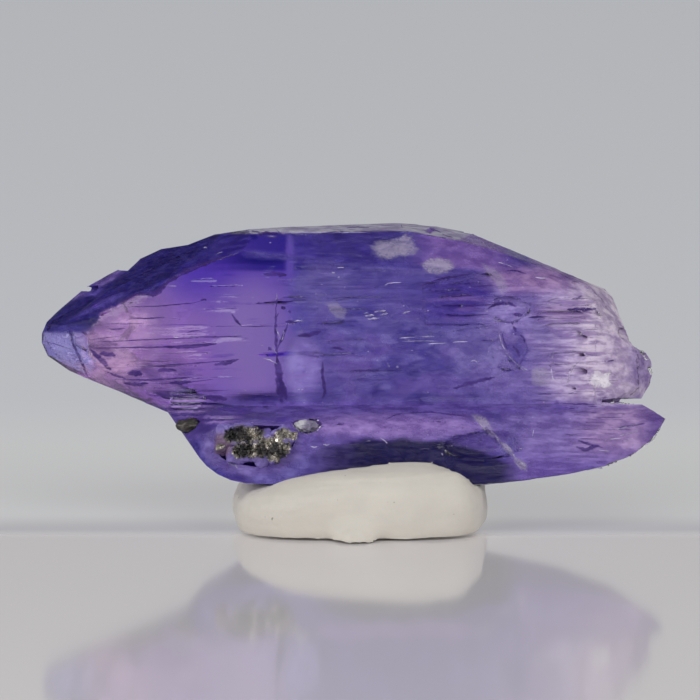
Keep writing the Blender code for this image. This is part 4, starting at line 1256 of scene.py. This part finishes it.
class TANZANITE_OT_grains(Operator):
    """Finishes the grains of pyrite, graphite and white mineral"""
    bl_idname = "tanzanite.grains"
    bl_label = "Grains"

    def execute(self, context):
        settings = context.scene.tanzanite.grains
        self.pyrite(settings)
        self.graphite(settings)
        self.milky(settings)
        return {"FINISHED"}

    def lumpy(self, node, name, cell, rough, seed, material, slot, swell=0.0):
        """The CAD grain, broken up to a rough depth in mm. A swell in mm closes the gap around it."""
        obj = new_object(name, node_mesh(node))
        remesh = obj.modifiers.new("remesh", "REMESH")
        remesh.mode = "VOXEL"
        remesh.voxel_size = cell * MM
        graph = bpy.context.evaluated_depsgraph_get()
        mesh = bpy.data.meshes.new_from_object(obj.evaluated_get(graph))
        obj.modifiers.clear()
        obj.data = mesh
        points, normals = read_vectors(mesh, "co"), read_vectors(mesh, "normal")
        large = noise_at(points, (2.5, 2.5, 2.5), seed)
        small = noise_at(points, (7.0, 7.0, 7.0), seed + 1)
        depth = np.clip(rough * (0.5 + large + 0.6 * small), 0, 1) - swell
        mesh.vertices.foreach_set("co", (points - normals * (depth * MM)[:, None]).ravel())
        mesh.shade_smooth()
        mesh.set_sharp_from_angle(angle=GRAIN_CREASE)
        mesh.materials.append(material)
        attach(obj, "root")
        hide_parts(node)
        return obj

    def pyrite(self, settings):
        """The lump in its pit, strewn with small cubes wherever it shows as bare ore."""
        material = self.pyrite_material(settings)
        base = self.lumpy("pyrite_cluster", "pyrite_lump", 0.05, 0.07, 31, material, "pyrite", swell=0.13)
        self.paint_pyrite(base.data)
        corners = [vert.co[:] for vert in base.data.vertices]
        tree = BVHTree.FromPolygons(corners, [face.vertices[:] for face in base.data.polygons])
        stone = stone_tree()
        rng = random.Random(8)
        bm = bmesh.new()
        low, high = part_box("pyrite_cluster")
        back = Vector((0, 1, 0))
        for _ in range(PYRITE_CUBES):
            x = rng.uniform(low.x - 0.12 * MM, high.x + 0.1 * MM)
            start = Vector((x, low.y - 0.01, rng.uniform(low.z - 0.1 * MM, high.z + 0.1 * MM)))
            rays = (tree.ray_cast(start, back), stone.ray_cast(start, back))
            found = [ray for ray in rays if ray[0] is not None]
            if not found:
                continue
            hit, normal = min(found, key=lambda ray: ray[3])[:2]
            if self.ore_at(np.array([hit[:]]))[0] < 0.5:
                continue
            size = rng.uniform(0.05, 0.16) * MM
            place = Matrix.Translation(hit + normal * size * 0.12)
            turn = Matrix.Rotation(rng.uniform(0, 6.28), 4, "Z")
            turn = turn @ Matrix.Rotation(rng.uniform(0, 6.28), 4, "X")
            stretch = Matrix.Diagonal([rng.uniform(0.7, 1.3) for _ in range(3)]).to_4x4()
            bmesh.ops.create_cube(bm, size=size, matrix=place @ turn @ stretch)
        bmesh.ops.bevel(bm, geom=bm.edges[:], offset=0.008 * MM, segments=1, affect="EDGES")
        obj = new_object("pyrite_crystals", bm)
        self.paint_pyrite(obj.data, whole=True)
        obj.data.materials.append(material)
        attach(obj, "root")

    def pyrite_material(self, settings):
        """Pale brass metal with dark tarnish and painted shade in its hollows, and the stone's own colour
        where it has grown over the ore.
        """
        shader = Shader("pyrite_finish")
        streaks = streak_group()
        grit = shader.group(streaks, along=6.0, across=6.0, detail=3.0, low=0.35, high=0.65, seed=1.0)
        dark = shader.group(streaks, along=1.6, across=1.6, detail=3.0, low=0.42, high=0.56, seed=2.0)
        tone = shader.mix(grit, scaled(settings.pyrite, 0.45), settings.pyrite)
        tone = shader.mix(dark, tone, (0.03, 0.026, 0.028))
        ore, hollow_shade = shader.attribute("ore"), shader.attribute("hollow_shade")
        tone = shader.mix(hollow_shade, tone, (0.012, 0.012, 0.016))
        tone = shader.mix(ore, shader.attribute("gangue", "Color"), tone)
        metal = shader.math("MULTIPLY", ore, shader.spread(dark, 0.0, 1.0, 1.0, 0.3))
        shader.set(base_color=tone, metallic=metal, roughness=shader.spread(grit, 0.0, 1.0, 0.42, 0.16))
        shader.set(normal=shader.bump(grit, 0.03 * MM, 0.7))
        return shader.material

    def ore_at(self, points):
        """Where the cluster is bare metal, from 0 to 1. The stone has grown over the rest."""
        right, down = squares(points)
        ragged = noise_at(points, (3.0, 3.0, 3.0), 71.0)
        spots = [blob(right + 5 * ragged, down - 4 * ragged, middle, size, 0.15) for middle, size in ORE]
        return np.max(spots, axis=0)

    def paint_pyrite(self, mesh, whole=False):
        """Stores where a mesh is ore, where its hollows get painted shade, and where it is overgrown. A whole
        one is bare ore all over.
        """
        points = read_vectors(mesh, "co")
        right, down = squares(points)
        store(mesh, "ore", np.ones(len(points)) if whole else self.ore_at(points))
        hollow_shade = [dark * blob(right, down, middle, size, soft) for middle, size, soft, dark in HOLLOW_SHADE]
        store(mesh, "hollow_shade", np.max(hollow_shade, axis=0))
        stone = Paint(len(points), (0.20, 0.15, 0.46))
        for middle, size, shade in GANGUE:
            stone.lay(blob(right, down, middle, size, 0.3), shade)
        store_colour(mesh, "gangue", stone.shade)

    def graphite(self, settings):
        """Dull dark grey flakes."""
        shader = Shader("graphite_finish")
        streaks = streak_group()
        flakes = shader.group(streaks, along=2.0, across=7.0, detail=3.0, low=0.3, high=0.7, seed=3.0)
        tone = shader.mix(flakes, scaled(settings.graphite, 0.4), scaled(settings.graphite, 1.5))
        shader.set(base_color=tone, metallic=0.35, roughness=shader.spread(flakes, 0.0, 1.0, 0.6, 0.38))
        shader.set(normal=shader.bump(flakes, 0.03 * MM, 0.7))
        self.lumpy("graphite_grain", "graphite_flakes", 0.04, 0.06, 41, shader.material, "graphite")

    def milky(self, settings):
        """A cloudy grain, white on its left and a little see-through on its right."""
        shader = Shader("milky_finish")
        streaks = streak_group()
        cloud = shader.group(streaks, along=6.0, across=6.0, detail=3.0, low=0.35, high=0.6, seed=4.0)
        white = shader.attribute("white")
        tone = shader.mix(cloud, settings.milky, scaled(settings.milky, 1.3))
        tone = shader.mix(white, shader.tinted(tone, (0.62, 0.58, 0.72)), (0.58, 0.56, 0.62))
        shader.set(base_color=tone, roughness=0.6, normal=shader.bump(cloud, 0.04 * MM, 0.5))
        shader.set(alpha=shader.spread(white, 0.0, 1.0, 0.72, 0.95), specular_ior_level=0.2)
        grain = self.lumpy("white_grain", "milky_lump", 0.03, 0.13, 51, shader.material, "white_mineral")
        right, down = squares(read_vectors(grain.data, "co"))
        store(grain.data, "white", smooth(*MILKY_TURN, right + 0.5 * (down - 424)))


# The putty

# The smeared bulge in front: middle and size in squares
SMEAR = ((362, 532), (26, 14))
# Lips squeezed up beside the stone: place and reach in squares, height in mm
LIPS = ((282, 30, 0.30), (462, 17, 0.32))


class TANZANITE_OT_putty(Operator):
    """Softens the CAD pad into kneaded putty with dents and fine wrinkles"""
    bl_idname = "tanzanite.putty"
    bl_label = "Putty"

    def execute(self, context):
        settings = context.scene.tanzanite.putty
        obj = new_object("putty_body", node_mesh("putty_pad"))
        remesh = obj.modifiers.new("remesh", "REMESH")
        remesh.mode = "VOXEL"
        remesh.voxel_size = settings.cell * 1
        soften = obj.modifiers.new("soften", "SMOOTH")
        soften.iterations = 6
        graph = context.evaluated_depsgraph_get()
        mesh = bpy.data.meshes.new_from_object(obj.evaluated_get(graph))
        obj.modifiers.clear()
        obj.data = mesh
        self.knead(mesh)
        mesh.shade_smooth()
        mesh.materials.append(self.putty_material(settings))
        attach(obj, "root")
        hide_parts("putty_pad")
        return {"FINISHED"}

    def knead(self, mesh):
        """Evens the nub, smears the front, lifts two lips at the stone and adds dents and wrinkles."""
        points, normals = read_vectors(mesh, "co"), read_vectors(mesh, "normal")
        place = points / MM
        nub = (np.abs(place[:, 0]) < 1.4) & (place[:, 2] < 1.1) & (place[:, 2] > 0.12) & (place[:, 1] < -4.2)
        points = even_out(mesh, points, nub, 60)
        right, down = squares(points)
        smear = blob(right, down, *SMEAR, 0.8) * smooth(330, 344, right + 0.6 * (FOOT_SQUARE - down))
        points[:, 1] -= 0.10 * MM * smear * smooth(-3.0, -4.5, place[:, 1])
        lip = sum(high * np.exp(-((right - middle) / reach) ** 2) for middle, reach, high in LIPS)
        lip *= smooth(1.0, 2.6, points[:, 2] / MM) * smooth(-3.6, -4.2, points[:, 1] / MM)
        points[:, 2] += lip * MM
        large = noise_at(points, (0.35, 0.35, 0.5), 61)
        hand = noise_at(points, (0.8, 0.8, 1.1), 62)
        wrinkle = noise_at(points, (0.8, 2.4, 4.0), 63)
        fine = noise_at(points, (5.0, 5.0, 6.0), 64)
        depth = 0.05 * (1 + large) + 0.035 * (1 + hand) + 0.012 * (1 + wrinkle) + 0.004 * (1 + fine)
        depth = depth * (1 - 0.85 * smooth(0.75, 0.95, normals[:, 2]))
        mesh.vertices.foreach_set("co", (points - normals * (depth * MM)[:, None]).ravel())

    def putty_material(self, settings):
        """Matt cream putty with fine grain and a few dark specks."""
        shader = Shader("putty_finish")
        streaks = streak_group()
        cloud = shader.group(streaks, along=0.5, across=0.7, detail=4.0, low=0.3, high=0.7, seed=1.0)
        grain = shader.group(streaks, along=7.0, across=9.0, detail=2.0, low=0.2, high=0.8, seed=2.0)
        specks = shader.group(streaks, along=4.0, across=4.0, detail=1.0, low=0.74, high=0.78, seed=5.0)
        tone = shader.mix(cloud, scaled(settings.cream, 0.95), scaled(settings.cream, 1.03))
        tone = shader.mix(specks, tone, scaled(settings.cream, 0.45))
        shader.set(base_color=tone, roughness=0.62, normal=shader.bump(grain, 0.012 * MM, 0.5))
        return shader.material


# The light tent

# Soft panels: name, place and size in metres, and power as a share of the side lights' setting
PANELS = (
    ("left_light", (-0.28, -0.22, 0.13), (0.24, 0.24), 1.0),
    ("right_light", (0.30, -0.20, 0.12), (0.22, 0.22), 0.75),
    ("front_light", (-0.02, -0.22, 0.36), (0.50, 0.28), 1.18),
)
PANEL_TARGET = Vector((0, 0, 0.006))


def add_panel(name, place, size, watts):
    """A soft rectangular light that faces the stone."""
    light = bpy.data.lights.new(name, "AREA")
    light.shape = "RECTANGLE"
    light.size, light.size_y = size
    light.energy = watts
    obj = bpy.data.objects.new(name, light)
    bpy.context.scene.collection.objects.link(obj)
    obj.location = place
    obj.rotation_euler = (PANEL_TARGET - Vector(place)).to_track_quat("-Z", "Y").to_euler()


class TANZANITE_OT_stage(Operator):
    """Sets up the glossy floor, the backdrop, the lights and the camera"""
    bl_idname = "tanzanite.stage"
    bl_label = "Stage"

    def execute(self, context):
        settings = context.scene.tanzanite.stage
        self.floor(settings)
        self.lights(context, settings)
        self.camera(context, settings)
        context.scene.view_settings.view_transform = "Standard"
        return {"FINISHED"}

    def floor(self, settings):
        """A glossy floor in front that turns into softly lit matte paper behind the stone, with the stone's
        shadow painted across the turn.
        """
        bm = bmesh.new()
        bmesh.ops.create_grid(bm, x_segments=8, y_segments=8, size=1.2)
        obj = new_object("floor", bm)
        shader = Shader("floor_finish")
        place = shader.nodes.new("ShaderNodeTexCoord")
        split = shader.nodes.new("ShaderNodeSeparateXYZ")
        shader.links.new(place.outputs["Object"], split.inputs[0])
        depth = shader.math("DIVIDE", split.outputs["Y"], MM)
        matte = shader.spread(depth, *FLOOR_TURN)
        # A soft dark band across the paper where the floor turns: a painted shadow of the stone
        painted_shade_band = shader.math("SUBTRACT", matte, shader.spread(depth, -2.6, 1.6))
        far = shader.spread(depth, 18.0, 34.0)
        paper = shader.mix(far, (0.508, 0.510, 0.506), settings.paper)
        paper = shader.mix(shader.math("MULTIPLY", painted_shade_band, 0.8), paper, (0.335, 0.328, 0.350))
        shader.set(base_color=shader.mix(matte, settings.floor, scaled(settings.paper, 0.45)))
        shader.set(roughness=shader.spread(depth, *FLOOR_TURN, 0.08, 0.9))
        shader.set(emission_color=paper, emission_strength=shader.math("MULTIPLY", matte, 0.77))
        obj.data.materials.append(shader.material)

    def lights(self, context, settings):
        """Even light all round, brighter low down behind the stone, and three soft panels."""
        world = bpy.data.worlds.new("tent")
        world.use_nodes = True
        nodes, links = world.node_tree.nodes, world.node_tree.links
        background = nodes["Background"]
        background.inputs["Color"].default_value = (1.0, 1.0, 1.0, 1.0)
        place = nodes.new("ShaderNodeTexCoord")
        split = nodes.new("ShaderNodeSeparateXYZ")
        links.new(place.outputs["Generated"], split.inputs[0])

        def ramp(value, low, high):
            node = nodes.new("ShaderNodeMapRange")
            node.interpolation_type = "SMOOTHSTEP"
            node.inputs["From Min"].default_value = low
            node.inputs["From Max"].default_value = high
            links.new(value, node.inputs["Value"])
            return node.outputs["Result"]

        def join(operation, first, second):
            node = nodes.new("ShaderNodeMath")
            node.operation = operation
            for socket, value in zip(node.inputs, (first, second)):
                if isinstance(value, bpy.types.NodeSocket):
                    links.new(value, socket)
                else:
                    socket.default_value = value
            return node.outputs[0]

        low_down, behind = ramp(split.outputs["Z"], 0.50, 0.37), ramp(split.outputs["Y"], -0.55, -0.25)
        low_walls = join("MULTIPLY", low_down, behind)
        strength = join("ADD", join("MULTIPLY", low_walls, 0.40), settings.gloom)
        links.new(strength, background.inputs["Strength"])
        context.scene.world = world
        for name, place, size, share in PANELS:
            add_panel(name, place, size, settings.key * share)

    def camera(self, context, settings):
        camera = bpy.data.cameras.new("camera")
        camera.lens = camera.sensor_width * CAMERA_DISTANCE / settings.view_width
        camera.clip_start, camera.clip_end = 0.01, 10.0
        obj = bpy.data.objects.new("camera", camera)
        context.scene.collection.objects.link(obj)
        obj.location = CAMERA_TARGET + TO_CAMERA * CAMERA_DISTANCE
        obj.rotation_euler = (-TO_CAMERA).to_track_quat("-Z", "Y").to_euler()
        context.scene.camera = obj


OPERATORS = (
    TANZANITE_OT_crystal, TANZANITE_OT_marks, TANZANITE_OT_grains, TANZANITE_OT_putty, TANZANITE_OT_stage,
)


class TANZANITE_PT_panel(Panel):
    """Lists the pieces of the tanzanite"""
    bl_idname = "TANZANITE_PT_panel"
    bl_label = "Rough Tanzanite"
    bl_space_type = "VIEW_3D"
    bl_region_type = "UI"
    bl_category = "Tanzanite"

    def draw(self, context):
        settings = context.scene.tanzanite
        parts = (settings.crystal, settings.marks, settings.grains, settings.putty, settings.stage)
        for part, operator in zip(parts, OPERATORS):
            box = self.layout.box()
            for name in part.__annotations__:
                box.prop(part, name)
            box.operator(operator.bl_idname)


CLASSES = (
    CrystalSettings, MarkSettings, GrainSettings, PuttySettings, StageSettings, TanzaniteSettings,
    *OPERATORS, TANZANITE_PT_panel,
)


def register():
    for cls in CLASSES:
        bpy.utils.register_class(cls)
    bpy.types.Scene.tanzanite = PointerProperty(type=TanzaniteSettings)


def unregister():
    del bpy.types.Scene.tanzanite
    for cls in reversed(CLASSES):
        bpy.utils.unregister_class(cls)


def main():
    register()
    bpy.ops.tanzanite.crystal()
    bpy.ops.tanzanite.marks()
    bpy.ops.tanzanite.grains()
    bpy.ops.tanzanite.putty()
    bpy.ops.tanzanite.stage()


if __name__ == "__main__":
    main()
